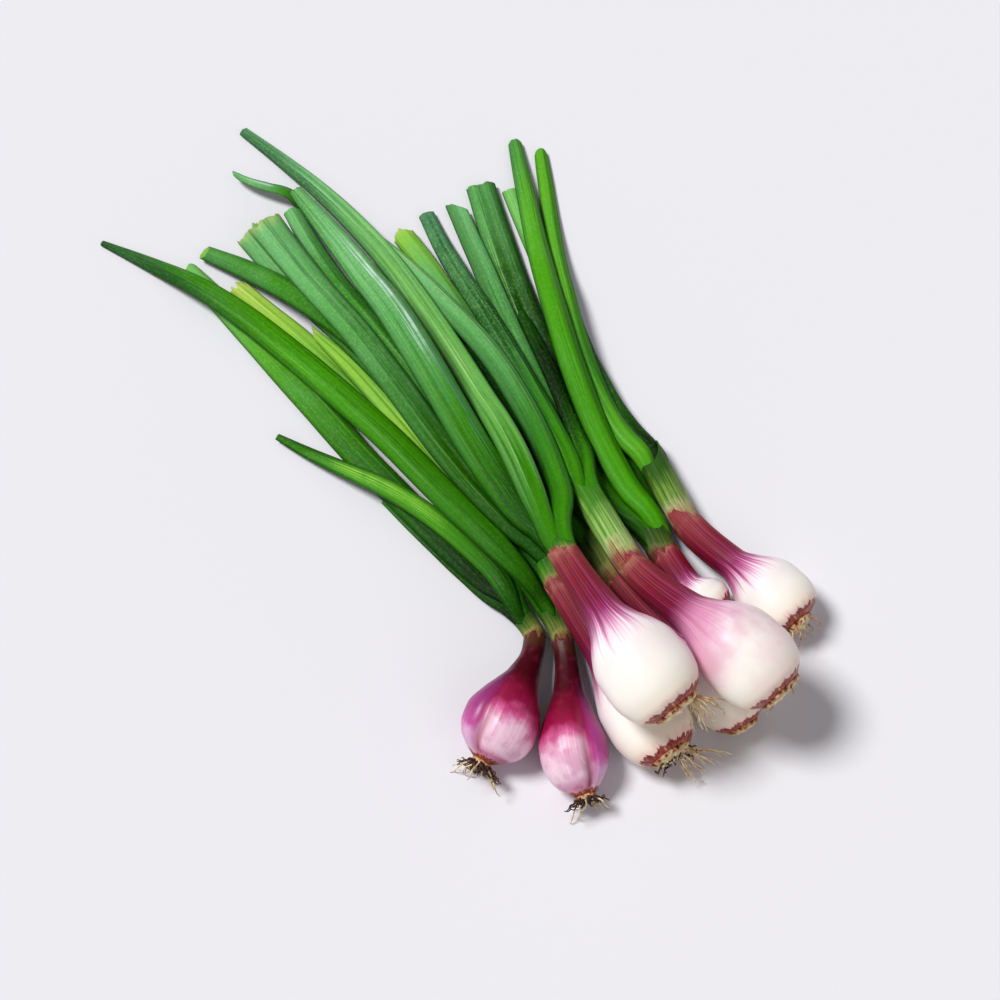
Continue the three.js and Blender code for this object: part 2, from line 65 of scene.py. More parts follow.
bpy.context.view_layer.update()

# %% [markdown]
# ## Colours and the table
# Blender counts in light, so a colour that is known by its everyday values has to be turned
# into shares of light first. The bunch lies on a plain pale table. It is set a hair's breadth
# below the bunch, because two faces in one place would flicker through each other.

# %% Colours and the table
TABLE_SIZE = 8
TABLE_GAP = 0.1 * MM


def tint(red, green, blue):
    """A colour from its everyday 0 to 255 values."""
    def light(value):
        value /= 255
        return value / 12.92 if value < 0.04045 else ((value + 0.055) / 1.055) ** 2.4
    return (light(red), light(green), light(blue), 1)


bpy.ops.mesh.primitive_plane_add(size=TABLE_SIZE, location=(0, 0, -TABLE_GAP))
table = bpy.context.object
table.name = "table"
table_finish = bpy.data.materials.new("plain table")
table_finish.use_nodes = True
table_shader = table_finish.node_tree.nodes["Principled BSDF"]
table_shader.inputs["Base Color"].default_value = tint(232, 231, 235)
table_shader.inputs["Roughness"].default_value = 0.9
table.data.materials.append(table_finish)
table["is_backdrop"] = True
print(table.name, TABLE_SIZE, "m wide")

# %% [markdown]
# ## Light
# A lamp close by would light the near bulbs more than the far leaves. A wide sun gives soft
# shadows that look alike everywhere, so there are two: a strong one from the left and a weak,
# very wide one from the right. A pale world fills what they leave dark.

# %% Light
def way_to(azimuth, elevation):
    """The way from the bunch to a light or a camera, with azimuth 0 on the near side, -Y."""
    a, e = math.radians(azimuth), math.radians(elevation)
    return Vector((math.sin(a) * math.cos(e), -math.cos(a) * math.cos(e), math.sin(e)))


def aim(thing, at):
    thing.rotation_euler = (at - thing.location).to_track_quat("-Z", "Y").to_euler()


def sun(azimuth, elevation, strength, width):
    """Adds a sun that is this many degrees wide in the sky."""
    bpy.ops.object.light_add(type="SUN", location=way_to(azimuth, elevation))
    made = bpy.context.object
    made.data.energy = strength
    made.data.angle = math.radians(width)
    aim(made, Vector())
    return made


suns = [sun(-45, 58, 2.9, 18), sun(100, 32, 0.45, 60)]
scene = bpy.context.scene
scene.world = bpy.data.worlds.new("studio")
scene.world.use_nodes = True
sky = scene.world.node_tree.nodes["Background"]
sky.inputs["Color"].default_value = tint(244, 244, 250)
sky.inputs["Strength"].default_value = 0.22
print(len(suns), "suns and a", scene.world.name, "world")

# %% [markdown]
# ## Camera
# The camera looks steeply down on the bunch from beside the bulbs. A slightly long lens from
# further off keeps the near bulbs from looking too big for their leaves.

# %% Camera
LENS = 65
AZIMUTH = 61
ELEVATION = 65
DISTANCE = 0.758
TARGET = Vector((39.54, -4.3, 0)) * MM

scene.view_settings.view_transform = "Standard"
bpy.ops.object.camera_add(location=TARGET + way_to(AZIMUTH, ELEVATION) * DISTANCE)
scene.camera = bpy.context.object
scene.camera.data.lens = LENS
scene.camera.data.clip_start = 0.01
aim(scene.camera, TARGET)
print("camera", round(DISTANCE / MM), "mm from the bunch")

# %% [markdown]
# ## Reading a solid's rings
# Every leaf, stem and bulb was made as rings of points along a line. Its finer piece could be
# placed by numbers written out again here, but the solid already knows them, so they are read
# from its mesh. Starting at the flat end in the middle, each step to the joined points finds
# the next ring.

# %% Reading a solid's rings
MICRONS = 1e6  # in a metre


def points_and_links(name):
    """A solid's points, with the doubles merged, and the points that each one is joined to."""
    mesh = solids[name].data
    place_of, points, number = {}, [], []
    for vertex in mesh.vertices:
        place = tuple(round(value * MICRONS) for value in vertex.co)
        if place not in place_of:
            place_of[place] = len(points)
            points.append(vertex.co.copy())
        number.append(place_of[place])
    links = [set() for _ in points]
    for edge in mesh.edges:
        a, b = (number[i] for i in edge.vertices)
        links[a].add(b)
        links[b].add(a)
    return points, links


def rings_of(name, sides, most):
    """The rings round a solid, from the flat end nearest +X."""
    points, links = points_and_links(name)
    poles = [i for i, near in enumerate(links) if len(near) == sides]
    layer = [max(poles, key=lambda i: points[i].x)]
    seen = set(layer)
    rings = []
    while len(rings) < most:
        layer = sorted({j for i in layer for j in links[i]} - seen)
        if len(layer) != sides:
            break
        seen.update(layer)
        rings.append([points[i] for i in layer])
    return rings


print("points of one leaf:", len(points_and_links("onion_a_leaf_outer")[0]))

# %% [markdown]
# ## Stations
# A ring says where the piece's middle is there, which way is ahead, how wide the piece is, and
# how far it reaches up and down. These are kept as stations, like the stations of a ship's
# hull. A piece's outermost rings close its tip and say nothing about its width, so only the
# first few of each kind are read.

# %% Stations
# How many points a ring of each kind has, and how many rings are read.
RINGS_READ = {"leaf": (8, 15), "bulb": (16, 10), "stem": (12, 4)}
# Points within this share of a ring's width from its side belong to that side.
EDGE = 0.04


def mean(points):
    return sum(points, Vector()) / len(points)


def stations_of(rings):
    """What each ring says about the piece at that place, and how far along it is."""
    made = []
    along = 0
    for i, ring in enumerate(rings):
        before, after = rings[max(0, i - 1)], rings[min(len(rings) - 1, i + 1)]
        ahead = (mean(after) - mean(before)).normalized()
        right = ahead.cross(UP).normalized()
        above = right.cross(ahead)
        across = [point.dot(right) for point in ring]
        most, least = max(across), min(across)
        edge = EDGE * (most - least)
        right_edge = mean([p for p, a in zip(ring, across) if a > most - edge])
        left_edge = mean([p for p, a in zip(ring, across) if a < least + edge])
        middle = (right_edge + left_edge) / 2
        heights = [(point - middle).dot(above) for point in ring]
        if made:
            along += (middle - made[-1]["middle"]).length
        made.append({"middle": middle, "ahead": ahead, "right": right, "above": above,
                     "along": along, "wide": (most - least) / 2,
                     "up": max(heights), "down": -min(heights)})
    return made


stations = {}
for name in solids:
    kind = name.split("_")[2]
    if kind in RINGS_READ:
        stations[name] = stations_of(rings_of(name, *RINGS_READ[kind]))
print("stations:", {name: len(found) for name, found in stations.items()})

# %% [markdown]
# ## The last station of the torn leaf
# One leaf of onion c ends in a torn strip, which hides its last ring. So that station is
# given: the leaf's tip, with the width and thickness that it has there. A leaf has a keel,
# so it stands higher over its middle than it is deep below it.

# %% The last station of the torn leaf
KEEL = 1.18
TORN_LEAF = "onion_c_leaf_broad"
TORN_TIP = Vector((-136.5, -12.3, 8.4)) * MM
TORN_WIDE = 3.1 * MM
TORN_HIGH = 1.2 * MM
RINGS_BEFORE_TEAR = 14

stations[TORN_LEAF] = stations[TORN_LEAF][:RINGS_BEFORE_TEAR]
last = stations[TORN_LEAF][-1]
ahead = (TORN_TIP - last["middle"]).normalized()
right = ahead.cross(UP).normalized()
stations[TORN_LEAF].append({
    "middle": TORN_TIP, "ahead": ahead, "right": right, "above": right.cross(ahead),
    "along": last["along"] + (TORN_TIP - last["middle"]).length,
    "wide": TORN_WIDE, "up": KEEL * TORN_HIGH, "down": TORN_HIGH})
print(TORN_LEAF, "is", round(stations[TORN_LEAF][-1]["along"] / MM), "mm long")

# %% [markdown]
# ## Collars, stem feet and leaf feet
# Where pieces of one onion meet, the real ones have no steps. The dry skin of the neck lies
# close on the stem, the stem keeps its width down inside the neck, and the leaves fill its
# mouth, because the stem is nothing but their rolled feet. So the stations there are changed
# a little: the collar is drawn in, and the leaves get broader feet.

# %% Collars, stem feet and leaf feet
COLLAR_SLACK = 0.25 * MM
SHEATH_WALL = 0.8 * MM
# How far along a leaf, in millimetres, and its least width and height as shares of the mouth.
FOOT_SIZES = [(0, 0.62, 0.5), (9, 0.86, 0.62), (22, 0.9, 0.55), (40, 0.7, 0.4)]


def resize(station, **sizes):
    """Makes a station at least this big."""
    for size, least in sizes.items():
        station[size] = max(station[size], least)


def broaden_foot(leaf, mouth):
    """Gives the start of a leaf the width of its stem's mouth."""
    foot_at, foot_wide, foot_high = np.array(FOOT_SIZES).T
    for station in leaf:
        along = station["along"] / MM
        if along < foot_at[-1]:
            high = mouth * np.interp(along, foot_at, foot_high)
            resize(station, wide=mouth * np.interp(along, foot_at, foot_wide), up=high, down=high)


for key in ONIONS:
    bulb, stem = stations[f"onion_{key}_bulb"], stations[f"onion_{key}_stem"]
    girth = stem[-1]["wide"]
    for station in stem[:-1]:
        resize(station, wide=girth, up=girth, down=girth)
    bulb[-1].update(wide=girth + COLLAR_SLACK, up=girth + COLLAR_SLACK, down=girth + COLLAR_SLACK)
    for name, found in stations.items():
        if name.startswith(f"onion_{key}_leaf"):
            broaden_foot(found, girth - SHEATH_WALL)
print("feet and collars fitted")

# %% [markdown]
# ## The blank
# Leaves, stems, bulbs and roots are all closed tubes of some kind, so one way of modelling
# makes a blank for each: a disc is extruded ahead ring by ring, its end gets a rim, and the
# rim is extruded back in, which makes it hollow. A blank is 1 long and 1 in radius.

# %% The blank
RIM = 0.8


def alone(*things):
    """Selects these and nothing else, and makes the first one active."""
    if bpy.context.object and bpy.context.object.mode != "OBJECT":
        bpy.ops.object.mode_set(mode="OBJECT")
    bpy.ops.object.select_all(action="DESELECT")
    for thing in things:
        thing.select_set(True)
    bpy.context.view_layer.objects.active = things[0]


def extrude_ahead(distance):
    """Draws the selected end out by this distance."""
    bpy.ops.mesh.extrude_region_move(TRANSFORM_OT_translate={"value": (distance, 0, 0)})


def blank(name, around, shares, depths=()):
    """A straight closed tube with rings at these shares, hollow down to the last depth."""
    if bpy.context.object:
        alone(bpy.context.object)
    bpy.ops.object.select_all(action="DESELECT")
    bpy.ops.mesh.primitive_circle_add(vertices=around, radius=1, fill_type="NGON",
                                      location=(0, 0, 0), rotation=(0, math.pi / 2, 0))
    tube = bpy.context.object
    tube.name = name
    bpy.ops.object.transform_apply(location=False, rotation=True, scale=False)
    bpy.ops.object.mode_set(mode="EDIT")
    bpy.ops.mesh.select_all(action="SELECT")
    for here, ahead in zip(shares, shares[1:]):
        extrude_ahead(ahead - here)
    if depths:
        extrude_ahead(0)
        bpy.ops.transform.resize(value=(1, RIM, RIM), center_override=(shares[-1], 0, 0))
        for shallow, deep in zip((0, *depths), depths):
            extrude_ahead(shallow - deep)
    bpy.ops.mesh.select_all(action="SELECT")
    bpy.ops.mesh.normals_make_consistent(inside=False)
    bpy.ops.object.mode_set(mode="OBJECT")
    bpy.ops.object.shade_smooth()
    tube.hide_render = True
    print(name, "blank:", len(tube.data.vertices), "points")
    return tube


def crowded(count, crowding_start, crowding_end):
    """Shares from 0 to 1, closer together at the ends by these powers."""
    t = np.linspace(0, 1, count)
    s = t ** crowding_start
    return list(1 - (1 - s) ** crowding_end)


leaf_blank = blank("leaf", 56, crowded(72, 1.15, 1.35), (0.002, 0.008, 0.02, 0.035, 0.05))
stem_blank = blank("stem", 48, crowded(40, 1, 1.2), (0.01, 0.04, 0.1, 0.17))
bulb_blank = blank("bulb", 96, crowded(60, 1.25, 1.1), (0.01, 0.04, 0.08))
root_blank = blank("root", 7, crowded(13, 1, 1))

# %% [markdown]
# ## Smooth lines and waves
# Straight lines from station to station would show as kinks. A plain cubic through them would
# bulge past a narrow neck, so this one stays between its neighbours. Nothing grown is quite
# even either: a few seeded waves round a piece give it an unevenness of its own, the same on
# every run.

# %% Smooth lines and waves
def smooth_line(at, known_at, known):
    """Values on a smooth line through known ones, which stays between its neighbours."""
    known_at, known = np.asarray(known_at), np.asarray(known)
    step = np.diff(known_at)
    slope = np.diff(known) / step
    tangent = np.zeros(len(known))
    tangent[0], tangent[-1] = slope[0], slope[-1]
    product = slope[:-1] * slope[1:]
    total = np.where(product > 0, slope[:-1] + slope[1:], 1)
    tangent[1:-1] = np.where(product > 0, 2 * product / total, 0)
    i = np.clip(np.searchsorted(known_at, at) - 1, 0, len(step) - 1)
    t = (at - known_at[i]) / step[i]
    return ((1 + 2 * t) * (1 - t) ** 2 * known[i] + t * (1 - t) ** 2 * step[i] * tangent[i]
            + t ** 2 * (3 - 2 * t) * known[i + 1] + t ** 2 * (t - 1) * step[i] * tangent[i + 1])


def wavy(angle, seed, waves=9, first=1):
    """A seeded wave round a piece, between about -1 and 1."""
    chance = random.Random(seed)
    total = 0
    for wave in range(first, first + waves):
        total = total + np.sin(wave * angle + chance.uniform(0, 2 * math.pi)) / wave ** 0.4
    return total / waves ** 0.6


print("waves round the first leaf:", [round(float(wavy(turn, 0)), 2) for turn in range(4)])

# %% [markdown]
# ## Points and what is kept on them
# A mesh's points are read as one table of places, changed all together, and written back,
# which is quick. Values can be kept on the points as well. The pieces keep "share", how far
# along they are, and "grown", which goes with the piece as it grows, so that a pattern that
# reads it follows every bend.

# %% Points and what is kept on them
def places(piece):
    """Where all of a piece's points are, one row for each."""
    flat = np.zeros(3 * len(piece.data.vertices))
    piece.data.vertices.foreach_get("co", flat)
    return flat.reshape(-1, 3)


def move_to(piece, where):
    piece.data.vertices.foreach_set("co", where.ravel())
    piece.data.update()


def keep_value(piece, name, values):
    """Keeps a value, or three, on every point, for a finish to read."""
    kind = "FLOAT_VECTOR" if values.ndim == 2 else "FLOAT"
    kept = piece.data.attributes.new(name, kind, "POINT")
    kept.data.foreach_set("vector" if values.ndim == 2 else "value", values.ravel())


def kept_values(piece, name, size=1):
    """What was kept on a piece's points before, as one value each or three."""
    found = np.zeros(size * len(piece.data.vertices))
    piece.data.attributes[name].data.foreach_get("vector" if size == 3 else "value", found)
    return found.reshape(-1, 3) if size == 3 else found


def copy_of(original, name):
    """A copy with a mesh of its own."""
    made = original.copy()
    made.data = original.data.copy()
    made.name = made.data.name = name
    made.hide_render = False
    bpy.context.collection.objects.link(made)
    return made


print("the leaf blank reaches to", [float(value) for value in places(leaf_blank).max(0).round(2)])

# %% [markdown]
# ## Bending
# A leaf that hangs over its neighbours could be turned ring by ring, but a Curve modifier does
# just that along a drawn line, and keeps the rings square to it. Once it is applied, the line
# has done its work and is thrown away. What would go below the table is pressed flat on it.

# %% Bending
REST = 0.02 * MM


def bend(piece, points):
    """Bends a straight piece along a smooth line through these points."""
    line_data = bpy.data.curves.new("line", "CURVE")
    line_data.dimensions = "3D"
    line_data.twist_mode = "Z_UP"
    line_data.resolution_u = 12
    spline = line_data.splines.new("BEZIER")
    spline.bezier_points.add(len(points) - 1)
    for handle, point in zip(spline.bezier_points, points):
        handle.co = point
        handle.handle_left_type = handle.handle_right_type = "AUTO"
    line = bpy.data.objects.new("line", line_data)
    bpy.context.collection.objects.link(line)
    alone(piece)
    bending = piece.modifiers.new("Bend", "CURVE")
    bending.object = line
    bpy.ops.object.modifier_apply(modifier=bending.name)
    bpy.data.objects.remove(line)
    bpy.data.curves.remove(line_data)


def above_table(piece, least=REST):
    """Nothing goes below the table, so what rests on it is flat there."""
    where = places(piece)
    where[:, 2] = np.maximum(where[:, 2], least)
    move_to(piece, where)


print("a piece rests", REST / MM, "mm above the table")

# %% [markdown]
# ## Fitting a blank
# A copy of the blank takes its width and height from the stations of its solid and is then
# bent along the line through their middles. That keeps the finer piece where its solid is, and
# it is how one straight shape can become 25 different leaves.

# %% Fitting a blank
END_ZONE = 12 * MM
LEAST_HOLLOW = 0.35


def fitted(original, name, found, wall, shape, end):
    """A blank fitted to its stations, shaped, and bent along them.

    shape(share, angle) gives how far the surface stands from an oval, and end(angle) how far
    the far end reaches, in metres, both as the angle goes round from the right over the top.
    """
    piece = copy_of(original, name)
    at = places(piece)
    share = np.clip(at[:, 0], 0, 1)
    radius = np.hypot(at[:, 1], at[:, 2])
    angle = np.arctan2(at[:, 2], -at[:, 1])
    length = found[-1]["along"]
    known_at = [station["along"] / length for station in found]
    size = {key: smooth_line(share, known_at, [station[key] for station in found])
            for key in ("wide", "up", "down")}
    inside = radius < (1 + RIM) / 2
    high = np.where(angle > 0, size["up"], size["down"])
    wide = size["wide"]
    wide = np.where(inside, np.maximum(wide - wall, LEAST_HOLLOW * wide), wide)
    high = np.where(inside, np.maximum(high - wall, LEAST_HOLLOW * high), high)
    stands = shape(share, angle)
    reach = END_ZONE / length
    near_end = np.clip((at[:, 0] - 1 + reach) / reach, 0, 1) ** 2
    straight = np.stack([at[:, 0] * length + near_end * end(angle),
                         -np.cos(angle) * wide * stands[0],
                         np.sin(angle) * high * stands[1]], 1)
    move_to(piece, straight)
    keep_value(piece, "share", share)
    keep_value(piece, "inside", inside.astype(float))
    keep_value(piece, "grown", np.stack([at[:, 0] * length, np.cos(angle), np.sin(angle)], 1))
    bend(piece, [station["middle"] for station in found])
    above_table(piece)
    return piece


print("solids that have stations to fit a blank to:", len(stations))

# %% [markdown]
# ## Nodes in a few words
# A finish is a tree of small nodes, and nearly all of them here are sums, ramps and blends.
# They could be laid out by hand in the editor, but with a helper of one or two words for each
# kind, which adds the node, joins its inputs and gives back its output, a finish reads like a
# recipe.

# %% Nodes in a few words
def join_input(tree, node, name, value):
    """A value is a number, a colour, or another node's output."""
    if isinstance(value, bpy.types.NodeSocket):
        tree.links.new(value, node.inputs[name])
    else:
        node.inputs[name].default_value = value


def put(tree, kind, settings=None, inputs=None):
    """Adds a node with these settings and inputs."""
    made = tree.nodes.new(kind)
    for name, value in (settings or {}).items():
        setattr(made, name, value)
    for name, value in (inputs or {}).items():
        join_input(tree, made, name, value)
    return made


def maths(tree, operation, *values):
    made = put(tree, "ShaderNodeMath", {"operation": operation}, dict(enumerate(values)))
    return made.outputs[0]


def times(tree, first, *others):
    """All these values, multiplied."""
    for other in others:
        first = maths(tree, "MULTIPLY", first, other)
    return first


def between(tree, value, low, high, to_low=0, to_high=1):
    """Eases a value from low to high into 0 to 1, or into another range."""
    return put(tree, "ShaderNodeMapRange", {"interpolation_type": "SMOOTHSTEP"},
               {0: value, 1: low, 2: high, 3: to_low, 4: to_high}).outputs[0]


def blend(tree, share, first, second, kind="MIX"):
    """The first colour with this share of the second laid over it."""
    return put(tree, "ShaderNodeMix", {"data_type": "RGBA", "blend_type": kind},
               {0: share, 6: first, 7: second}).outputs[2]


def darken(tree, share, colour, by):
    """Multiplies a colour by three shares, as shade does."""
    return blend(tree, share, colour, (*by, 1), "MULTIPLY")


def ramp(tree, value, stops):
    """A colour ramp through (place, colour) stops."""
    made = put(tree, "ShaderNodeValToRGB", None, {0: value})
    elements = made.color_ramp.elements
    for element, (place, colour) in zip(elements, (stops[0], stops[-1])):
        element.position, element.color = place, colour
    for place, colour in stops[1:-1]:
        elements.new(place).color = colour
    return made.outputs[0]


print("node helpers ready")

# %% [markdown]
# ## Patterns that several finishes share
# Everything on an onion runs lengthwise: the veins of a leaf, the stripes of a stem and the
# purple streaks of a neck. One node group gives such fibres, stretched along the piece. A
# second one gives soft blotches, for wax on a leaf and for blush on a bulb. Both only put out
# values, and each finish decides what to do with them.

# %% Patterns that several finishes share
def group_of(name, inputs, outputs):
    """An empty shader node group with named sockets, and its input and output nodes."""
    group = bpy.data.node_groups.new(name, "ShaderNodeTree")
    for socket_name, kind, value in inputs:
        socket = group.interface.new_socket(socket_name, in_out="INPUT", socket_type=kind)
        if value is not None:
            socket.default_value = value
    for socket_name in outputs:
        group.interface.new_socket(socket_name, in_out="OUTPUT", socket_type="NodeSocketFloat")
    return group, group.nodes.new("NodeGroupInput"), group.nodes.new("NodeGroupOutput")


fibres_group, given, result = group_of("lengthwise fibres", [
    ("Grown", "NodeSocketVector", None), ("Along", "NodeSocketFloat", 20),
    ("Around", "NodeSocketFloat", 9), ("Contrast", "NodeSocketFloat", 0.2)], ["Fibres"])
stretch = put(fibres_group, "ShaderNodeCombineXYZ", None,
              {0: given.outputs["Along"], 1: given.outputs["Around"], 2: given.outputs["Around"]})
stretched = put(fibres_group, "ShaderNodeVectorMath", {"operation": "MULTIPLY"},
                {0: given.outputs["Grown"], 1: stretch.outputs[0]})
fibre_noise = put(fibres_group, "ShaderNodeTexNoise", None,
                  {"Vector": stretched.outputs[0], "Scale": 1, "Detail": 3, "Roughness": 0.6})
low = maths(fibres_group, "SUBTRACT", 0.5, given.outputs["Contrast"])
high = maths(fibres_group, "ADD", 0.5, given.outputs["Contrast"])
fibres_group.links.new(between(fibres_group, fibre_noise.outputs[0], low, high),
                       result.inputs["Fibres"])

blotch_group, given, result = group_of("soft blotches", [
    ("Scale", "NodeSocketFloat", 60), ("Low", "NodeSocketFloat", 0.45),
    ("High", "NodeSocketFloat", 0.6)], ["Blotches"])
place = put(blotch_group, "ShaderNodeTexCoord")
blotch_noise = put(blotch_group, "ShaderNodeTexNoise", None, {
    "Vector": place.outputs["Object"], "Scale": given.outputs["Scale"], "Detail": 4})
blotch_group.links.new(between(blotch_group, blotch_noise.outputs[0], given.outputs["Low"],
                               given.outputs["High"]), result.inputs["Blotches"])
print("node groups:", [group.name for group in bpy.data.node_groups])

# %% [markdown]
# ## Reading the patterns in a finish
# A finish reads what was kept on the points, places the two groups with its own values, and
# ends with the same few things: a colour, a roughness, a shine and a low relief.

# %% Reading the patterns in a finish
def kept(tree, name, output=2):
    """A value that was kept on the points. Output 1 is three values, and output 2 is one."""
    return put(tree, "ShaderNodeAttribute", {"attribute_name": name}).outputs[output]


def grown_parts(tree):
    """How far along a point is, in metres, and how far right and up it is, from -1 to 1."""
    return put(tree, "ShaderNodeSeparateXYZ", None, {0: kept(tree, "grown", 1)}).outputs


def fibres(tree, along, around, contrast):
    """Lengthwise fibres, with this many to a metre along and to the radius around."""
    return put(tree, "ShaderNodeGroup", {"node_tree": fibres_group}, {
        "Grown": kept(tree, "grown", 1), "Along": along, "Around": around,
        "Contrast": contrast}).outputs[0]


def blotches(tree, scale, low, high):
    """Soft blotches. The closer low and high are together, the sharper their edges."""
    return put(tree, "ShaderNodeGroup", {"node_tree": blotch_group}, {
        "Scale": scale, "Low": low, "High": high}).outputs[0]


def new_finish(name):
    """A finish, its node tree and its shader."""
    finish = bpy.data.materials.new(name)
    finish.use_nodes = True
    return finish, finish.node_tree, finish.node_tree.nodes["Principled BSDF"]


def surface(tree, shader, colour, roughness, shine):
    """Gives the shader its colour, and how rough and how shiny the surface is."""
    join_input(tree, shader, "Base Color", colour)
    join_input(tree, shader, "Roughness", roughness)
    join_input(tree, shader, "Specular IOR Level", shine)


def relief(tree, shader, height, depth, strength):
    """Light and shade as if the surface rose and sank by this depth with a pattern."""
    bump = put(tree, "ShaderNodeBump", None, {"Strength": strength, "Distance": depth,
                                              "Height": height})
    tree.links.new(bump.outputs[0], shader.inputs["Normal"])


print("pattern helpers ready")

# %% [markdown]
# ## Greens and streaks
# A streak is a stripe of another green along a part of a leaf, such as wax that was rubbed off
# or a pale scar. It could be painted, but a leaf's own angle and share already say where it
# is. Its edges are pushed to and fro by the veins, and blotches thin it here and there. The
# same stripes also give a fold its painted highlight and the painted shade beside it.

# %% Greens and streaks
# The two darkest greens are painted shade, for leaves and parts of leaves in the shade of others.
# The darkest one also makes the line beside a fold.
GREENS = {"night": (10, 40, 0), "shade": (26, 84, 0), "deep": (44, 108, 0),
          "olive": (86, 132, 8), "leafy": (62, 142, 0), "grass": (76, 162, 0),
          "fresh": (98, 180, 34), "lime": (154, 214, 72), "yellow": (206, 236, 96),
          "pine": (42, 102, 42), "moss": (62, 140, 38), "sea": (82, 156, 70),
          "mist": (102, 178, 98), "frost": (132, 204, 132), "light": (138, 212, 108),
          "pale": (200, 236, 150), "teal": (84, 144, 108), "silver": (206, 230, 222)}
STREAK_FADE = 0.12


def streak_on(tree, colour, share, angle, torn, streak):
    """Lays a stripe on a colour, at a place round the leaf in degrees, between two shares."""
    place, width, start, stop, green, strength = streak
    off = maths(tree, "ABSOLUTE", maths(tree, "SUBTRACT", angle, place))
    off = maths(tree, "MULTIPLY_ADD", torn, 1.4 * width, off)
    line = times(tree, between(tree, off, 1.2 * width, 0.7 * width, 0, strength),
                 between(tree, share, start, start + STREAK_FADE),
                 between(tree, share, stop, stop - STREAK_FADE),
                 between(tree, blotches(tree, 170, 0.3, 0.62), 0, 1, 0.5, 1))
    return blend(tree, line, colour, tint(*GREENS[green]))


def crease_streaks(creases):
    """A painted highlight on the back of a fold, and a line of painted shade beside it."""
    made = []
    for place, width, height in creases:
        side = math.copysign(1, height)
        made.append((place, 4, 0.1, 1.1, "pale", 0.1))
        made.append((place - side * 0.6 * width, 0.3 * width, 0.05, 1.1, "night", 0.42))
    return made


print(len(GREENS), "greens")

# %% [markdown]
# ## The finish of a leaf
# A spring onion leaf is a deep yellow-green near the stem, where it is young, and blue-green
# with wax further out. No two are quite the same, so each leaf names five greens from its foot
# to its tip. Fine veins run along it, its wax is thin and blotchy, and its cut end shows the
# paler wall. Its flanks get painted shade, so they are darker than its top, often one more than
# the other.

# %% The finish of a leaf
TONES_AT = (0.08, 0.3, 0.52, 0.74, 0.95)
DRY_EDGE = 0.45


def leaf_finish(name, look):
    """The greens go from foot to tip. shaded paints shade on the right flank, or on the left below
    0.
    """
    finish, tree, shader = new_finish(name)
    share = kept(tree, "share")
    _, sideways, upward = grown_parts(tree)
    angle = times(tree, maths(tree, "ARCTAN2", upward, sideways), math.degrees(1))
    planes = fibres(tree, 7, 1.8, 0.13)
    veins = fibres(tree, 14, 13, 0.16)
    shifted = maths(tree, "ADD", share, maths(tree, "MULTIPLY_ADD", planes, 0.2, -0.1))
    colour = ramp(tree, shifted, [(place, tint(*GREENS[tone]))
                                  for place, tone in zip(TONES_AT, look["tones"])])
    waxy = times(tree, blotches(tree, 60, 0.35, 0.7), between(tree, share, 0.25, 0.9), look["wax"])
    colour = blend(tree, waxy, colour, tint(124, 190, 128))
    # Broad bands along the leaf are darkened: partly uneven tone, partly painted shade of its
    # facets.
    colour = darken(tree, times(tree, planes, 0.6), colour, (0.4, 0.54, 0.34))
    colour = darken(tree, between(tree, veins, 0.3, 1, 0, 0.4), colour, (0.46, 0.64, 0.42))
    mottled = between(tree, blotches(tree, 600, 0.35, 0.65), 0, 1, 0, 0.24)
    colour = darken(tree, mottled, colour, (0.6, 0.74, 0.55))
    specks = times(tree, blotches(tree, 850, 0.48, 0.66),
                   between(tree, share, 0.3, 0.7, 0.05, 0.04 + 0.45 * look["wax"]))
    colour = blend(tree, specks, colour, tint(160, 220, 118))
    for streak in (*crease_streaks(look["creases"]), *look["streaks"]):
        colour = streak_on(tree, colour, share, angle, veins, streak)
    # Painted shade on one flank, as strong as shaded says.
    if look["shaded"]:
        dark = between(tree, times(tree, sideways, math.copysign(1, look["shaded"])),
                       0.05, 0.5, 0, abs(look["shaded"]))
        colour = darken(tree, dark, colour, (0.22, 0.34, 0.16))
    # Painted shade: a leaf gets darker as its surface turns away from the top.
    colour = darken(tree, between(tree, upward, 0.8, 0, 0, 0.9), colour, (0.14, 0.26, 0.08))
    if look["ragged"] > 1:
        edge = maths(tree, "MULTIPLY_ADD", veins, 0.03, share)
        colour = blend(tree, between(tree, edge, 0.99, 1.02, 0, DRY_EDGE), colour,
                       tint(206, 206, 120))
    colour = blend(tree, kept(tree, "inside"), colour, tint(140, 190, 80))
    surface(tree, shader, colour, 0.36, 0.08)
    relief(tree, shader, maths(tree, "MULTIPLY_ADD", specks, 2, veins), 0.12 * MM, 0.6)
    return finish


print("tones at", TONES_AT)

# %% [markdown]
# ## What each leaf looks like
# Some leaves stay round, others are pressed flat, and many have a sharp ridge or a fold along
# them. A crease is given as its place round the leaf in degrees, with 0 at the right and 90 on
# top, its width, and how far it stands up or sinks in. The end of each leaf says how it was
# cut, in millimetres: slanting across, slanting over, ragged, or rounded off. A leaf only
# names what sets it apart from a plain one.

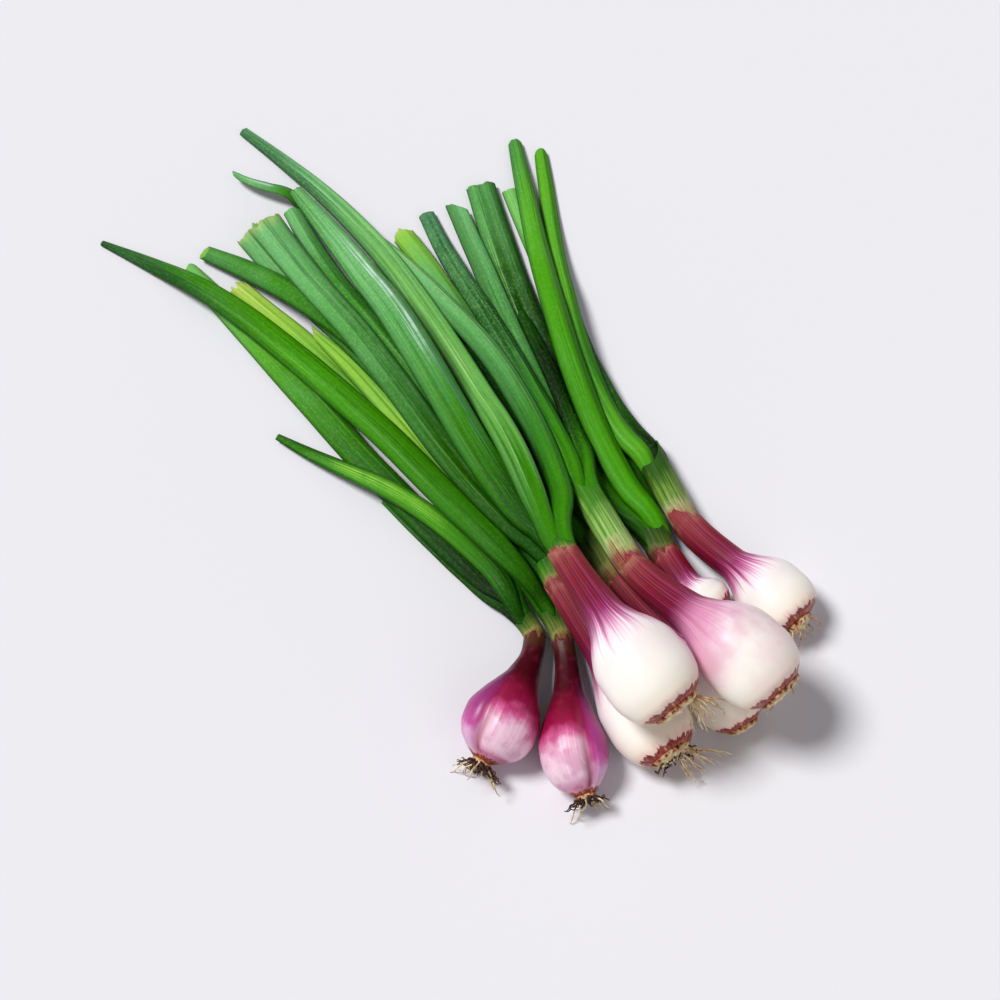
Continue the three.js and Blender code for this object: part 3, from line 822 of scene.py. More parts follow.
# %% What each leaf looks like
PLAIN_LEAF = dict(creases=(), streaks=(), wax=0.25, shaded=0, across=0, over=0, ragged=0.3,
                  rounded=0)
LEAVES = {
    "a_leaf_short": dict(tones=("night", "shade", "deep", "deep", "leafy")),
    "a_leaf_outer": dict(tones=("night", "shade", "leafy", "fresh", "light"),
                         creases=[(60, 30, 0.15)], across=2, rounded=4),
    "a_leaf_right": dict(tones=("shade", "shade", "deep", "leafy", "leafy")),
    "a_leaf_light": dict(tones=("shade", "leafy", "fresh", "leafy", "deep"),
                         creases=[(70, 30, 0.12)], wax=0.1,
                         streaks=[(85, 56, 0.36, 0.84, "lime", 0.65)]),
    "g_leaf_back": dict(tones=("deep", "deep", "fresh", "light", "light"), ragged=0.6),
    "f_leaf_short": dict(tones=("night", "shade", "shade", "pine", "pine")),
    # Its middle is nearly black-green and its right flank darker, both painted shade.
    "g_leaf_broad": dict(tones=("deep", "night", "night", "deep", "mist"), ragged=0.7,
                         creases=[(88, 24, -0.5), (128, 26, 0.3), (48, 26, 0.25)], shaded=0.7,
                         streaks=[(122, 9, 0.5, 1.1, "light", 0.6),
                                  (66, 6, 0.6, 1.1, "frost", 0.4)]),
    "g_leaf_bright": dict(tones=("deep", "shade", "sea", "mist", "frost"), across=-3, wax=0.4,
                          creases=[(112, 26, 0.4)], shaded=-0.6),
    "h_leaf_under": dict(tones=("deep", "shade", "shade", "pine", "pine")),
    "h_leaf_inner": dict(tones=("moss", "sea", "sea", "mist", "lime"), creases=[(70, 24, 0.2)],
                         rounded=3, ragged=2.4, wax=0.1),
    "b_leaf_ragged": dict(tones=("deep", "deep", "moss", "lime", "yellow"), ragged=5,
                          creases=[(100, 25, 0.3)], wax=0.1),
    "b_leaf_yellow": dict(tones=("deep", "leafy", "lime", "lime", "lime"), across=3, ragged=2,
                          creases=[(80, 20, -0.3)], wax=0.1),
    "b_leaf_long": dict(tones=("deep", "leafy", "grass", "leafy", "pine"), wax=0.1,
                        creases=[(115, 40, 0.14)]),
    "d_leaf_back": dict(tones=("shade", "pine", "moss", "sea", "frost"), ragged=3, across=2,
                        wax=0.4, creases=[(100, 26, 0.3)]),
    "d_leaf_curled": dict(tones=("deep", "deep", "shade", "leafy", "sea"), over=-2, wax=0.15,
                          creases=[(75, 45, 0.14)]),
    "h_leaf_outer": dict(tones=("leafy", "deep", "moss", "moss", "frost"), wax=0.3,
                         creases=[(95, 26, 0.3)], shaded=0.6),
    # This leaf is nearly black-green for most of its length, as painted shadow among the leaves
    # round it.
    "e_leaf_under": dict(tones=("leafy", "shade", "night", "night", "shade"), wax=0,
                         rounded=3),
    "e_leaf_dark": dict(tones=("leafy", "moss", "pine", "pine", "teal"), wax=0.4,
                        creases=[(110, 26, 0.3), (60, 20, 0.1)],
                        streaks=[(75, 7, 0.55, 0.98, "frost", 0.4)]),
    "d_leaf_broad": dict(tones=("shade", "deep", "sea", "mist", "frost"), ragged=2.6, wax=0.4,
                         creases=[(75, 20, -0.3), (108, 22, 0.26), (45, 20, 0.15)], shaded=0.4,
                         streaks=[(62, 6, 0.25, 0.8, "shade", 0.7)]),
    "c_leaf_silver": dict(tones=("leafy", "pine", "sea", "silver", "silver"), ragged=1, wax=0.9,
                          creases=[(90, 20, -0.3)]),
    "f_leaf_long": dict(tones=("fresh", "moss", "fresh", "fresh", "fresh"), rounded=3, wax=0.1,
                        creases=[(80, 40, 0.12)], shaded=0.35),
    "c_leaf_broad": dict(tones=("shade", "leafy", "mist", "frost", "mist"), wax=0.5,
                         creases=[(120, 22, 0.25), (62, 24, 0.2)],
                         streaks=[(58, 24, 0.2, 0.7, "teal", 0.6),
                                  (66, 25, 0.42, 0.86, "silver", 0.8),
                                  (36, 14, 0.3, 0.97, "pine", 0.7),
                                  (142, 10, 0.3, 0.8, "deep", 0.5)]),
    "g_leaf_long": dict(tones=("grass", "grass", "grass", "fresh", "sea"), rounded=2, wax=0.1,
                        creases=[(64, 30, 0.2)], shaded=0.3),
    "c_leaf_right": dict(tones=("leafy", "moss", "mist", "frost", "pale"), wax=0.5,
                         creases=[(66, 26, 0.3)], shaded=-0.4,
                         streaks=[(60, 5, 0.2, 0.95, "pale", 0.4)]),
    "c_leaf_long": dict(tones=("leafy", "light", "light", "frost", "teal"), wax=0.4,
                        creases=[(100, 18, 0.24), (62, 26, -0.2), (135, 22, 0.12)],
                        shaded=-0.35,
                        streaks=[(99, 5, 0.08, 0.5, "pale", 0.4), (84, 7, 0.3, 0.5, "pale", 0.55),
                                 (70, 6, 0.5, 0.95, "deep", 0.45)]),
}

# %% [markdown]
# ## The shape of a leaf
# A leaf's form could be sculpted, but everything about it can be said round its own line: how
# far its surface stands out at each angle, and how far its cut end reaches. So a leaf has one
# formula for each, and a blank takes its shape from them.

# %% The shape of a leaf
def leaf_shape(creases, seed):
    """A flattened tube with a low keel, its own creases, and a slow unevenness."""
    def shape(share, angle):
        top = 1 / KEEL + 0.12 * np.maximum(0, np.sin(angle)) ** 4
        stands = np.where(angle > 0, top, 1)
        grown_in = np.clip(share / 0.2, 0, 1)
        for number, (place, width, height) in enumerate(creases):
            strays = 6 * wavy(7 * share, seed + number, 3)
            off = np.abs(np.degrees(angle) - place - strays) / width
            stands = stands + height * grown_in * np.clip(1 - off, 0, 1) ** 1.4
        uneven = 1 + 0.02 * wavy(share * 9 + angle, seed, 4)
        return uneven, stands * uneven
    return shape


def leaf_end(look, seed):
    """How a leaf was cut: slanting, torn unevenly, or with a round outline."""
    def end(angle):
        reach = look["across"] * np.cos(angle) + look["over"] * np.sin(angle)
        reach = reach + look["ragged"] * wavy(angle, seed, 14, 2)
        return (reach - look["rounded"] * np.abs(np.cos(angle)) ** 3) * MM
    return end


print("a leaf's keel is", KEEL, "times as high as its belly is deep")

# %% [markdown]
# ## Leaves
# Now each leaf is a copy of the leaf blank, fitted to its own solid, with its own finish. It
# takes that solid's place, and the solid is no longer drawn.

# %% Leaves
LEAF_WALL = 0.45 * MM


def dress(piece, node, finish):
    """Gives a piece its finish and puts it in its solid's place."""
    piece.data.materials.append(finish)
    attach(piece, "root")
    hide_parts(node)


leaves = {}
for number, (name, look) in enumerate(LEAVES.items()):
    look = {**PLAIN_LEAF, **look}
    finish = leaf_finish(name.replace("_", " "), look)
    leaf = fitted(leaf_blank, "leaf_" + name.replace("_leaf", ""), stations["onion_" + name],
                  LEAF_WALL, leaf_shape(look["creases"], number), leaf_end(look, number))
    dress(leaf, "onion_" + name, finish)
    leaves[name] = leaf
print(len(leaves), "leaves,", sum(len(leaf.data.polygons) for leaf in leaves.values()), "faces")

# %% [markdown]
# ## The torn strip
# A strip of the broad leaf of onion c was torn off back to its tip and hangs on there. It is
# flat and narrow, so it is the same blank pressed flat, bent along its own line, and then
# joined to the leaf.

# %% The torn strip
STRIP_LINE = [(9, -1.5, 0), (0, -3, -0.6), (-9, -10, -1.6), (-16, -15.5, -2.4), (-24, -20, -3.4)]
STRIP_WIDE = [2.6, 2.6, 2.4, 2.0, 1.4]
STRIP_HIGH = 0.65 * MM
STRIP_WALL = 0.3 * MM
STRIP_LOOK = {**PLAIN_LEAF, "creases": [(90, 60, -0.4)], "across": 2, "ragged": 0.8, "rounded": 1}
STRIP_SEED = 77


def stations_along(points, wides, high):
    """Stations given along a line, all equally thick."""
    made = []
    for i, middle in enumerate(points):
        along = made[-1]["along"] + (middle - points[i - 1]).length if made else 0
        made.append({"middle": middle, "along": along, "wide": wides[i], "up": high, "down": high})
    return made


line = [TORN_TIP + Vector(point) * MM for point in STRIP_LINE]
strip = fitted(leaf_blank, "torn strip",
               stations_along(line, [wide * MM for wide in STRIP_WIDE], STRIP_HIGH), STRIP_WALL,
               leaf_shape(STRIP_LOOK["creases"], STRIP_SEED), leaf_end(STRIP_LOOK, STRIP_SEED))
strip.data.materials.append(leaves["c_leaf_broad"].data.materials[0])
alone(leaves["c_leaf_broad"], strip)
bpy.ops.object.join()
print("the torn leaf has", len(leaves["c_leaf_broad"].data.polygons), "faces")

# %% [markdown]
# ## The finish of a stem
# A stem is a roll of leaf sheaths. Where it leaves the dry neck it is flushed with the same
# red, then it is pale and finely striped, and greener towards its mouth. The colours can't go
# by the stem's whole length, because its foot is hidden in the neck, so they go by "bare", how
# far along the part is that can be seen.

# %% The finish of a stem
def halfway(first, second):
    """The colour between two others."""
    return tuple((a + b) / 2 for a, b in zip(first, second))


def stem_finish(name, foot, pale, body, mouth, stripe):
    foot, pale, body, mouth, stripe = (tint(*c) for c in (foot, pale, body, mouth, stripe))
    finish, tree, shader = new_finish(name)
    bare = kept(tree, "bare")
    stripes = fibres(tree, 16, 14, 0.14)
    hair_lines = fibres(tree, 20, 30, 0.12)
    frayed = maths(tree, "MULTIPLY_ADD", fibres(tree, 20, 12, 0.3), 0.24, -0.12)
    shifted = maths(tree, "ADD", bare, frayed)
    shifted = maths(tree, "MULTIPLY_ADD", blotches(tree, 150, 0.3, 0.7), -0.16, shifted)
    colour = ramp(tree, shifted, [(0.0, foot), (0.13, halfway(foot, pale)), (0.24, pale),
                                  (0.36, body), (0.5, body), (0.8, mouth)])
    striped = times(tree, between(tree, stripes, 0.4, 0.75, 0, 0.8),
                    between(tree, shifted, 0.1, 0.35))
    colour = blend(tree, striped, colour, stripe)
    lines = times(tree, between(tree, hair_lines, 0.5, 0.9, 0, 0.4),
                  between(tree, bare, 0.9, 0.4))
    colour = blend(tree, lines, colour, pale)
    # Painted shade: a stem gets darker where its surface turns downwards.
    painted_under_shade = between(tree, grown_parts(tree)[2], 0.4, -0.3, 0, 0.85)
    colour = darken(tree, painted_under_shade, colour, (0.2, 0.26, 0.16))
    surface(tree, shader, colour, 0.5, 0.2)
    relief(tree, shader, stripes, 0.2 * MM, 0.8)
    return finish


RED_FOOT = (142, 44, 54)
stem_finishes = {
    "pale": stem_finish("pale striped stem", RED_FOOT, (188, 212, 134), (160, 204, 100),
                        (72, 140, 20), (52, 120, 14)),
    "wrinkled": stem_finish("wrinkled stem", RED_FOOT, (188, 192, 132), (122, 168, 50),
                            (46, 92, 12), (36, 84, 6)),
    "green": stem_finish("green stem", RED_FOOT, (150, 150, 84), (84, 148, 24), (50, 126, 6),
                         (36, 92, 6)),
    "dark": stem_finish("dark stem", (110, 34, 42), (110, 118, 58), (74, 108, 26),
                        (60, 100, 16), (24, 52, 6)),
    "olive": stem_finish("olive stem", (122, 62, 46), (158, 158, 84), (112, 132, 50),
                         (70, 112, 26), (48, 76, 18)),
}
print("stem finishes:", list(stem_finishes))

# %% [markdown]
# ## Stems
# The mouth of a stem is where its leaves part, and its edge runs up between them in points, on
# one side further than on the other. The dry collar of a neck does the same, so both ends are
# made by one formula.

# %% Stems
STEM_WALL = 0.5 * MM
NECK_SOCKET = 6.6 * MM
POINTS_UP = 4
MOUTH_SEED = 40
STEM_LOOKS = {"a": "olive", "b": "olive", "c": "green", "d": "green", "e": "pale",
              "f": "wrinkled", "g": "dark", "h": "olive"}
# The side on which a mouth runs up furthest, in degrees, and how far.
MOUTHS = {"e": (170, 12), "f": (20, 8), "g": (0, 5)}


def pointed_end(least, place, reach, seed, waves, first):
    """An end in uneven points that runs up further on one side, all in millimetres."""
    def end(angle):
        side = reach * np.clip(np.cos(angle - math.radians(place)), 0, 1) ** 2
        return MM * (least + POINTS_UP * wavy(angle, seed, waves, first) + side)
    return end


def stem_shape(seed):
    """Nearly round, with a fine rib for each vein."""
    def shape(share, angle):
        uneven = 1 + 0.03 * wavy(angle + share, seed, 4) + 0.012 * np.sin(14 * angle + seed)
        return uneven, uneven
    return shape


for number, key in enumerate(ONIONS):
    name = f"onion_{key}_stem"
    stem = fitted(stem_blank, f"sheath_{key}", stations[name], STEM_WALL, stem_shape(number),
                  pointed_end(1, *MOUTHS.get(key, (0, 0)), MOUTH_SEED + number, 4, 1))
    along = kept_values(stem, "grown", 3)[:, 0]
    length = stations[name][-1]["along"]
    keep_value(stem, "bare", (along - NECK_SOCKET) / (length - NECK_SOCKET))
    dress(stem, name, stem_finishes[STEM_LOOKS[key]])
print(len(ONIONS), "stems")

# %% [markdown]
# ## The skins round a root plate
# Where the skins of a bulb were attached they tore off in a ragged dark red edge. It could be
# modelled point by point, but it is paper thin, so it is a pattern: coarse and fine fibres
# give the points their reach, and inside them lies a patchy rust crust.

# %% The skins round a root plate
def skin_points(tree, colour, grown_along, reach):
    """The torn skins round the root plate: a patchy rust crust with dark purple points."""
    ragged = maths(tree, "MULTIPLY_ADD", fibres(tree, 100, 3.2, 0.2), 0.75 * reach, 0.2 * reach)
    ragged = maths(tree, "MULTIPLY_ADD", fibres(tree, 160, 11, 0.22), 0.4 * reach, ragged)
    past = maths(tree, "SUBTRACT", ragged, grown_along)
    flush = between(tree, past, -1.1 * reach, 0, 0, 0.45)
    colour = blend(tree, flush, colour, tint(238, 184, 176))
    crust = ramp(tree, fibres(tree, 420, 7, 0.3), [
        (0.0, tint(96, 22, 26)), (0.4, tint(146, 52, 40)), (0.75, tint(190, 98, 62)),
        (1.0, tint(236, 186, 122))])
    crust = blend(tree, between(tree, past, 0.4 * reach, 0.05 * reach, 0, 0.85), crust,
                  tint(122, 24, 58))
    return blend(tree, between(tree, past, -0.25 * MM, 0.3 * MM), colour, crust)


print("skin points ready")

# %% [markdown]
# ## The finish of a white bulb
# The purple of a white bulb comes down from its neck in separate streaks, so the colour's
# place along the bulb is pushed to and fro by the fibres. The neck has dark and pale lines, a
# dry and dusty collar, and painted shade on its lower flanks. One onion is flushed with pink
# nearly all over, which is the same finish with more blush.

# %% The finish of a white bulb
def white_finish(name, blush):
    """blush is how much of the bulb is flushed with pink, from 0 to 1."""
    finish, tree, shader = new_finish(name)
    share = kept(tree, "share")
    ahead, sideways, upward = grown_parts(tree)
    streaks = fibres(tree, 9, 5, 0.3)
    fine = fibres(tree, 12, 20, 0.22)
    both = maths(tree, "MULTIPLY_ADD", streaks, 0.55, times(tree, fine, 0.45))
    frayed = between(tree, share, 0.12, 0.4, 0, 0.22)
    moved = maths(tree, "MULTIPLY_ADD", maths(tree, "SUBTRACT", both, 0.5), frayed, share)
    colour = ramp(tree, moved, [
        (0.0, tint(255, 232, 206)), (0.12, tint(255, 247, 234)), (0.34, tint(255, 250, 246)),
        (0.41, tint(250, 220, 234)), (0.48, tint(216, 132, 180)), (0.56, tint(152, 36, 100)),
        (0.66, tint(118, 8, 44)), (0.84, tint(128, 14, 30)), (1.0, tint(140, 48, 42))])
    in_neck = between(tree, share, 0.42, 0.6)
    pale_lines = between(tree, fibres(tree, 8, 15, 0.1), 0.6, 1)
    colour = blend(tree, times(tree, pale_lines, in_neck, 0.22), colour, tint(206, 96, 150))
    dark_lines = times(tree, between(tree, fibres(tree, 10, 11, 0.12), 0.5, 1),
                       between(tree, share, 0.36, 0.56), 0.75)
    colour = blend(tree, dark_lines, colour, tint(82, 4, 42))
    blushing = times(tree, blotches(tree, 34, 0.34, 0.62),
                     between(tree, share, 0.08, 0.34, 0.02 + 0.3 * blush, 0.16 + 0.95 * blush),
                     between(tree, share, 0.66, 0.44))
    colour = blend(tree, blushing, colour, tint(220, 146, 180))
    dry = times(tree, between(tree, share, 0.8, 1), fibres(tree, 60, 16, 0.2), 0.3)
    colour = blend(tree, dry, colour, tint(190, 84, 92))
    haze = times(tree, between(tree, share, 0.92, 1.03), blotches(tree, 240, 0.4, 0.7), 0.7)
    colour = blend(tree, haze, colour, tint(196, 160, 124))
    crimson = times(tree, between(tree, sideways, 0.3, 0.9, 0, 0.6), in_neck)
    colour = blend(tree, crimson, colour, tint(150, 20, 34))
    # Painted shade on the lower flanks of the neck.
    flank = times(tree, between(tree, upward, 0.3, -0.4, 0, 0.7), in_neck)
    colour = darken(tree, flank, colour, (0.4, 0.3, 0.3))
    colour = skin_points(tree, colour, ahead, 2.9 * MM)
    surface(tree, shader, colour, between(tree, share, 0.45, 0.8, 0.3, 0.5), 0.2)
    relief(tree, shader, times(tree, both, in_neck), 0.3 * MM, 0.6)
    return finish


bulb_finishes = {"white": white_finish("white bulb", 0), "pink": white_finish("pink bulb", 0.7)}
print("bulb finishes:", list(bulb_finishes))

# %% [markdown]
# ## The finish of a red bulb
# A red onion's skin is nearly black in the neck, crimson at the shoulder and a cloudy pale
# pink round the belly, and each has grown as a pair, of which the smaller one is more purple.
# Both "twin" and "fold" are kept on the points when the bulbs are made.

# %% The finish of a red bulb
def red_finish(name):
    finish, tree, shader = new_finish(name)
    twin = kept(tree, "twin")
    fine = fibres(tree, 12, 14, 0.22)
    clouds = blotches(tree, 110, 0.25, 0.75)
    moved = maths(tree, "MULTIPLY_ADD", maths(tree, "SUBTRACT", clouds, 0.5), 0.08,
                  kept(tree, "share"))
    moved = maths(tree, "MULTIPLY_ADD", maths(tree, "SUBTRACT", fine, 0.5), 0.016, moved)
    moved = maths(tree, "MULTIPLY_ADD", twin, 0.13, moved)
    colour = ramp(tree, moved, [
        (0.0, tint(150, 30, 84)), (0.04, tint(206, 112, 158)), (0.11, tint(246, 216, 228)),
        (0.24, tint(246, 204, 222)), (0.31, tint(206, 86, 142)), (0.38, tint(150, 14, 66)),
        (0.5, tint(124, 8, 44)), (0.64, tint(72, 2, 18)), (0.88, tint(66, 6, 16)),
        (1.0, tint(84, 50, 26))])
    pale = between(tree, moved, 0.34, 0.27)
    mauve = times(tree, blotches(tree, 110, 0.45, 0.62), pale, 0.5)
    colour = blend(tree, mauve, colour, tint(206, 132, 172))
    colour = blend(tree, times(tree, fine, pale, 0.2), colour, tint(184, 84, 138))
    dusty = times(tree, blotches(tree, 300, 0.5, 0.75), between(tree, moved, 0.34, 0.46), 0.25)
    colour = blend(tree, dusty, colour, tint(176, 44, 100))
    colour = blend(tree, times(tree, twin, 0.4), colour, tint(178, 84, 176))
    # The fold between the pair is darker magenta: partly the skin's own colour there, partly
    # painted shade.
    colour = blend(tree, times(tree, kept(tree, "fold"), 0.9), colour, tint(150, 16, 78))
    colour = skin_points(tree, colour, grown_parts(tree)[0], 1.8 * MM)
    surface(tree, shader, colour, 0.33, 0.35)
    relief(tree, shader, fine, 0.12 * MM, 0.4)
    return finish


bulb_finishes["red"] = red_finish("red bulb")
print("bulb finishes:", list(bulb_finishes))

# %% [markdown]
# ## Bulbs
# A bulb is round near the root, drawn out into the neck, and dry and frayed at the collar. The
# fold between a pair could be cut in, but then its edges would be sharp. It is a soft hollow,
# deepest at the root, so it is taken out of the bulb's roundness by a formula.

# %% Bulbs
BULB_WALL = 0.7 * MM
BULB_LOOKS = {"a": "red", "b": "red", "e": "pink"}
# The side on which a collar runs up furthest, in degrees, and how far.
COLLARS = {"c": (165, 5), "f": (120, 7), "e": (80, 3)}
# Where the fold between a pair runs, in degrees from the right, over the top and underneath.
GROOVES = {"a": 112.5, "b": 67.5}
FOLD_WIDTH = 13
FOLD_DEPTH = 0.24
BULB_SEED = 70
COLLAR_SEED = 60


def fold_of(share, angle, groove):
    """How deep in the fold between a pair a point is, from 0 to 1."""
    off = (np.abs(np.degrees(angle)) - groove) / FOLD_WIDTH
    return np.clip(1 - share / 0.6, 0, 1) ** 0.7 * np.exp(-off ** 2)


def bulb_shape(groove, seed):
    """Nearly round, with folds in the dry neck, and hollowed out by the fold of a pair."""
    def shape(share, angle):
        uneven = 1 + 0.008 * wavy(angle + 2 * share, seed, 4)
        uneven = uneven + 0.02 * np.clip(share / 0.5 - 1, 0, 1) * wavy(angle, seed + 1, 9, 3)
        if groove:
            uneven = uneven * (1 - FOLD_DEPTH * fold_of(share, angle, groove))
        return uneven, uneven
    return shape


def keep_pair(bulb, groove):
    """Marks the fold between a pair, and the smaller one of the two."""
    share, grown = kept_values(bulb, "share"), kept_values(bulb, "grown", 3)
    angle = np.arctan2(grown[:, 2], grown[:, 1])
    past = np.degrees(np.abs(angle)) - groove
    past = past if groove > 90 else -past
    keep_value(bulb, "twin", np.clip(past / 10, 0, 1) * np.clip(2 - share / 0.35, 0, 1))
    keep_value(bulb, "fold", fold_of(share, angle, groove) ** 1.3)


for number, key in enumerate(ONIONS):
    name = f"onion_{key}_bulb"
    look = BULB_LOOKS.get(key, "white")
    groove = GROOVES.get(key)
    bulb = fitted(bulb_blank, f"globe_{key}", stations[name], BULB_WALL,
                  bulb_shape(groove, BULB_SEED + number),
                  pointed_end(0, *COLLARS.get(key, (0, 1)), COLLAR_SEED + number, 12, 2))
    if groove:
        keep_pair(bulb, groove)
    dress(bulb, name, bulb_finishes[look])
print(len(ONIONS), "bulbs")

# %% [markdown]
# ## The finish of the roots
# The root plate is the true stem of an onion: a low woody disc that the roots grew out of.
# Plate and roots go from nearly black through rust to cream, so one finish does for all of
# them, and each point says which tone it has.

# %% The finish of the roots
def root_finish():
    """tone goes from black-brown at 0 over rust at 0.5 to cream at 1."""
    finish, tree, shader = new_finish("roots")
    mottled = maths(tree, "MULTIPLY_ADD", blotches(tree, 420, 0.35, 0.65), 0.3, -0.15)
    tone = maths(tree, "ADD", kept(tree, "tone"), mottled)
    colour = ramp(tree, tone, [
        (0.0, tint(22, 12, 10)), (0.2, tint(66, 30, 16)), (0.38, tint(134, 52, 30)),
        (0.52, tint(188, 108, 66)), (0.7, tint(206, 176, 128)), (1.0, tint(246, 230, 190))])
    surface(tree, shader, colour, 0.7, 0.5)
    relief(tree, shader, mottled, 0.5 * MM, 0.8)
    return finish


roots_finish = root_finish()
print(roots_finish.name)

# %% [markdown]
# ## Root plates
# On the white onions the roots were cut clean, which left a crust with short hollow stubs,
# cream at their rims and dark inside. Each stub is a round pit with a raised lip, pressed into
# a low dome, which takes far fewer faces than small tubes would.

# %% Root plates
PLATE_THICK = 2.5 * MM
LIP_HIGH = 0.7 * MM
PIT_DEEP = 1.4 * MM
PLATE_FLAT = 0.88
plate_blank = blank("plate", 96, crowded(22, 1.1, 2.2))


def root_frame(key):
    """The middle of an onion's root plate, and its ways out, right and up."""
    first = stations[f"onion_{key}_bulb"][0]
    return first["middle"], -first["ahead"], first["right"], first["above"]


def put_at(piece, frame_here):
    """Places a piece that was made with +X as the way out, +Y right and +Z up."""
    middle, out, right, above = (np.array(value) for value in frame_here)
    at = places(piece)
    move_to(piece, middle + at[:, :1] * out + at[:, 1:2] * right + at[:, 2:] * above)
    above_table(piece)


def plate_of(key, radius, seed, pits):
    """A low domed crust. pits are round hollows as (turn, share of the radius, width)."""
    plate = copy_of(plate_blank, f"plate_{key}")
    at = places(plate)
    share = np.clip(at[:, 0], 0, 1)
    turn = np.arctan2(at[:, 2], at[:, 1])
    closing = np.sqrt(np.clip(1 - share ** 3, 0, 1))
    rim = 1 + 0.05 * wavy(turn, seed, 12, 3) * closing
    across = np.hypot(at[:, 1], at[:, 2]) * radius * closing * rim
    y, z = across * np.cos(turn), across * np.sin(turn)
    lumps = wavy(y / radius * 7, seed, 4) * wavy(z / radius * 7, seed + 1, 4)
    out = share * PLATE_THICK * (1 + 0.25 * lumps)
    tone = 0.42 + 0.4 * share ** 0.7 + 0.14 * lumps
    for place, far, width in pits:
        gap = np.hypot(y - radius * far * math.cos(place), z - radius * far * math.sin(place))
        hollow = np.exp(-(gap / width) ** 2)
        lip = np.exp(-((gap - 1.5 * width) / (0.5 * width)) ** 2)
        out = out + share * (LIP_HIGH * lip - PIT_DEEP * hollow)
        # The pits are darker, partly the stubs' own dark cores and partly painted shade in them.
        # Their lips are paler.
        tone = tone + 0.16 * lip - 0.62 * hollow
    move_to(plate, np.stack([out, y, PLATE_FLAT * z], 1))
    keep_value(plate, "tone", tone)
    put_at(plate, root_frame(key))
    return plate


print("plate blank ready")

# %% [markdown]
# ## Root strands
# Some roots still hang on. Each is the root blank, made thin, tapered, and bent along a
# crooked line of its own, which starts on the plate, fans out and hangs down to the table. The
# draws that make it crooked are seeded, so the same roots grow on every run.

# %% Root strands
TAPER = 0.55
STRAND_REST = 0.1 * MM
FOOT_OUT = 0.8 * MM


def root_strand(points, thick, tone, chance):
    """One root, thinner towards its tip, bent along its own crooked line."""
    strand = copy_of(root_blank, "strand")
    at = places(strand)
    share = np.clip(at[:, 0], 0, 1)
    thin = thick * (1 - TAPER * share)
    length = sum((b - a).length for a, b in zip(points, points[1:]))
    move_to(strand, np.stack([at[:, 0] * length, at[:, 1] * thin, at[:, 2] * thin], 1))
    keep_value(strand, "tone", tone + chance.uniform(-0.08, 0.08) + 0.1 * share)
    bend(strand, points)
    above_table(strand, STRAND_REST)
    return strand


def strands_of(key, radius, look, chance):
    """Roots that leave the plate, fan out and hang down, as their look says."""
    middle, out, right, above = root_frame(key)
    made = []
    for i in range(look["count"]):
        turn = (i + 0.6 * chance.random()) / look["count"] * 2 * math.pi
        ring = radius * (1 - look["start"]) * chance.uniform(0.2, 0.75)
        reach = look["length"] * MM * chance.uniform(0.6, 1.1)
        fan = look["fan"] * chance.uniform(0.4, 1.2)
        drop = look["hang"] * MM * chance.uniform(0.5, 1.3)
        foot = (middle + FOOT_OUT * out + above * ring * math.sin(turn)
                + right * (look["start"] * radius + ring * math.cos(turn)))
        points = []
        for t in (0, 0.2, 0.4, 0.6, 0.8, 1):
            crook = [look["crook"] * MM * t ** 0.5 * chance.uniform(-1, 1) for _ in range(3)]
            across = (look["right"] + fan * math.cos(turn) * (1.3 - 0.5 * t)) * t * reach
            rise = fan * math.sin(turn) * t * (1 - 0.6 * t) * reach - drop * t * t
            point = foot + out * reach * t * (1 - 0.3 * t) + right * across + above * rise
            point += Vector(crook)
            point.z = max(point.z, look["thick"] * MM * chance.uniform(1, 2))
            points.append(point)
        made.append(root_strand(points, look["thick"] * MM, look["tone"], chance))
    return made


print("strand helpers ready")

# %% [markdown]
# ## Roots
# Four of the white onions keep some fine pale roots. The red ones kept all of theirs: a dark
# tangle of dry roots with some longer pale ones. Plate and strands of one onion grew as one
# piece, so they are joined.

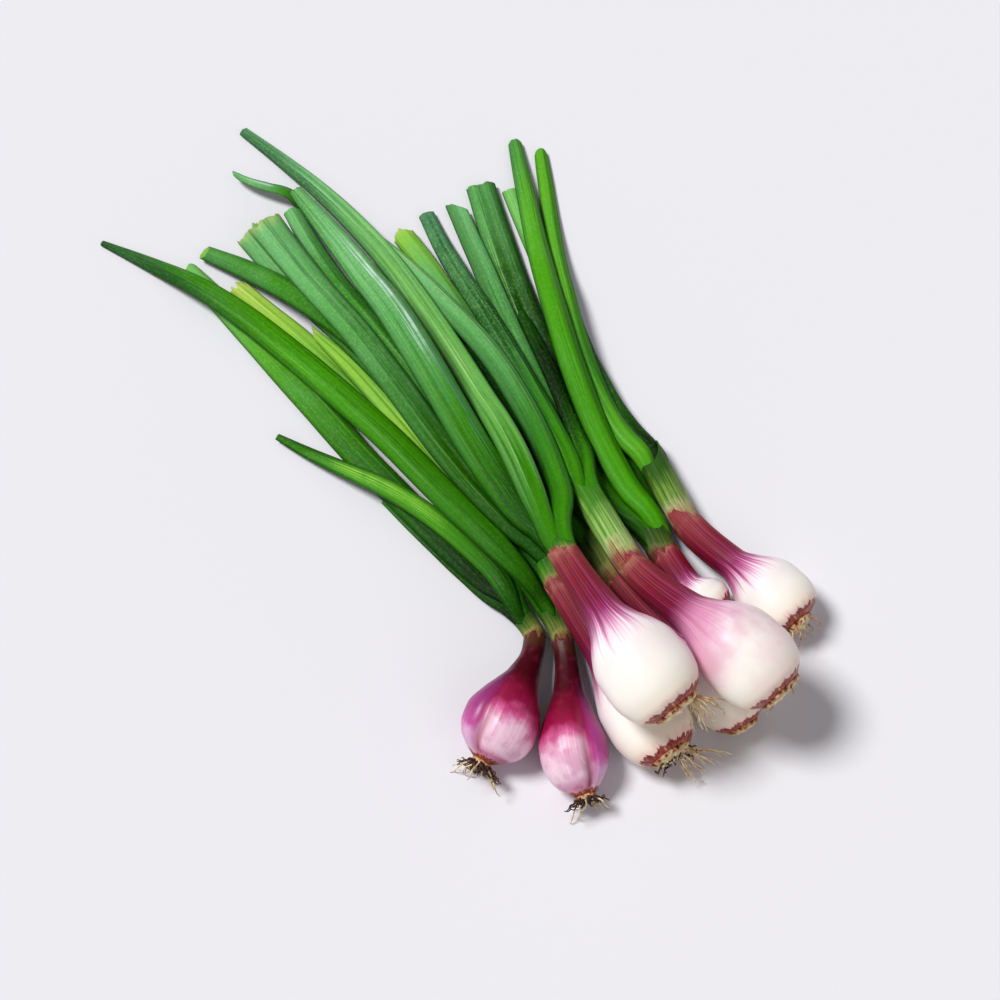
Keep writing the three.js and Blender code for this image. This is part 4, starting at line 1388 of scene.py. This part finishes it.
# %% Roots
# How long and thick roots are, how far they hang and how crooked they are, in millimetres. They
# fan out and lean to the right by shares of their length, and start that far out on the plate.
tangle = dict(count=64, length=6.5, thick=0.42, right=0, fan=1.3, start=0, hang=2, crook=1.3,
              tone=0.06)
pale_roots = dict(count=13, length=13, thick=0.4, right=0, fan=1.1, start=0, hang=8, crook=0.7,
                  tone=0.72)
ROOT_LOOKS = {
    "a": [tangle, pale_roots],
    "b": [dict(tangle, count=40, length=4.5, fan=1.5), dict(pale_roots, count=9, length=11)],
    "c": [dict(pale_roots, count=22, right=0.3, fan=0.6, start=0.74, hang=15, thick=0.34,
               length=18)],
    "d": [dict(pale_roots, count=16, right=0.45, fan=0.7, start=0.5, hang=9, thick=0.32,
               length=17),
          dict(tangle, count=16, start=0.1, hang=5, length=5)],
    "f": [dict(pale_roots, count=9, length=9, hang=8, thick=0.28, tone=0.6)],
    "e": [dict(pale_roots, count=5, length=6, hang=5, thick=0.25, tone=0.6, fan=0.8)],
}
# The rings of cut stubs, as shares of the plate's radius, and how many are in each.
STUB_RINGS = ((0.93, 15), (0.6, 8), (0.25, 3))
PLATE_INSET = 0.4 * MM
ROOT_SEED = 100


def stubs_of(radius, chance):
    """Pits in rings, each a little out of its place."""
    pits = []
    for ring, count in STUB_RINGS:
        for i in range(count):
            pits.append(((i + chance.uniform(-0.25, 0.25)) / count * 2 * math.pi,
                         ring + chance.uniform(-0.06, 0.04), chance.uniform(0.06, 0.1) * radius))
    return pits


for number, key in enumerate(ONIONS):
    chance = random.Random(ROOT_SEED + number)
    radius = stations[f"onion_{key}_bulb"][0]["wide"] - PLATE_INSET
    pits = [] if BULB_LOOKS.get(key) == "red" else stubs_of(radius, chance)
    roots = [plate_of(key, radius, number, pits)]
    for look in ROOT_LOOKS.get(key, []):
        roots += strands_of(key, radius, look, chance)
    alone(*roots)
    if len(roots) > 1:
        bpy.ops.object.join()
    roots[0].name = f"rootlets_{key}"
    dress(roots[0], f"onion_{key}_roots", roots_finish)
print(len(ONIONS), "root plates, with", {key: sum(look["count"] for look in looks)
                                        for key, looks in ROOT_LOOKS.items()}, "strands")

# %% [markdown]
# ## Sizes
# The blanks have done their work and are thrown away. What is left is measured once more, and
# should hardly differ in size from the solids.

# %% Sizes
for spare in (leaf_blank, stem_blank, bulb_blank, root_blank, plate_blank):
    bpy.data.objects.remove(spare)
low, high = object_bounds()
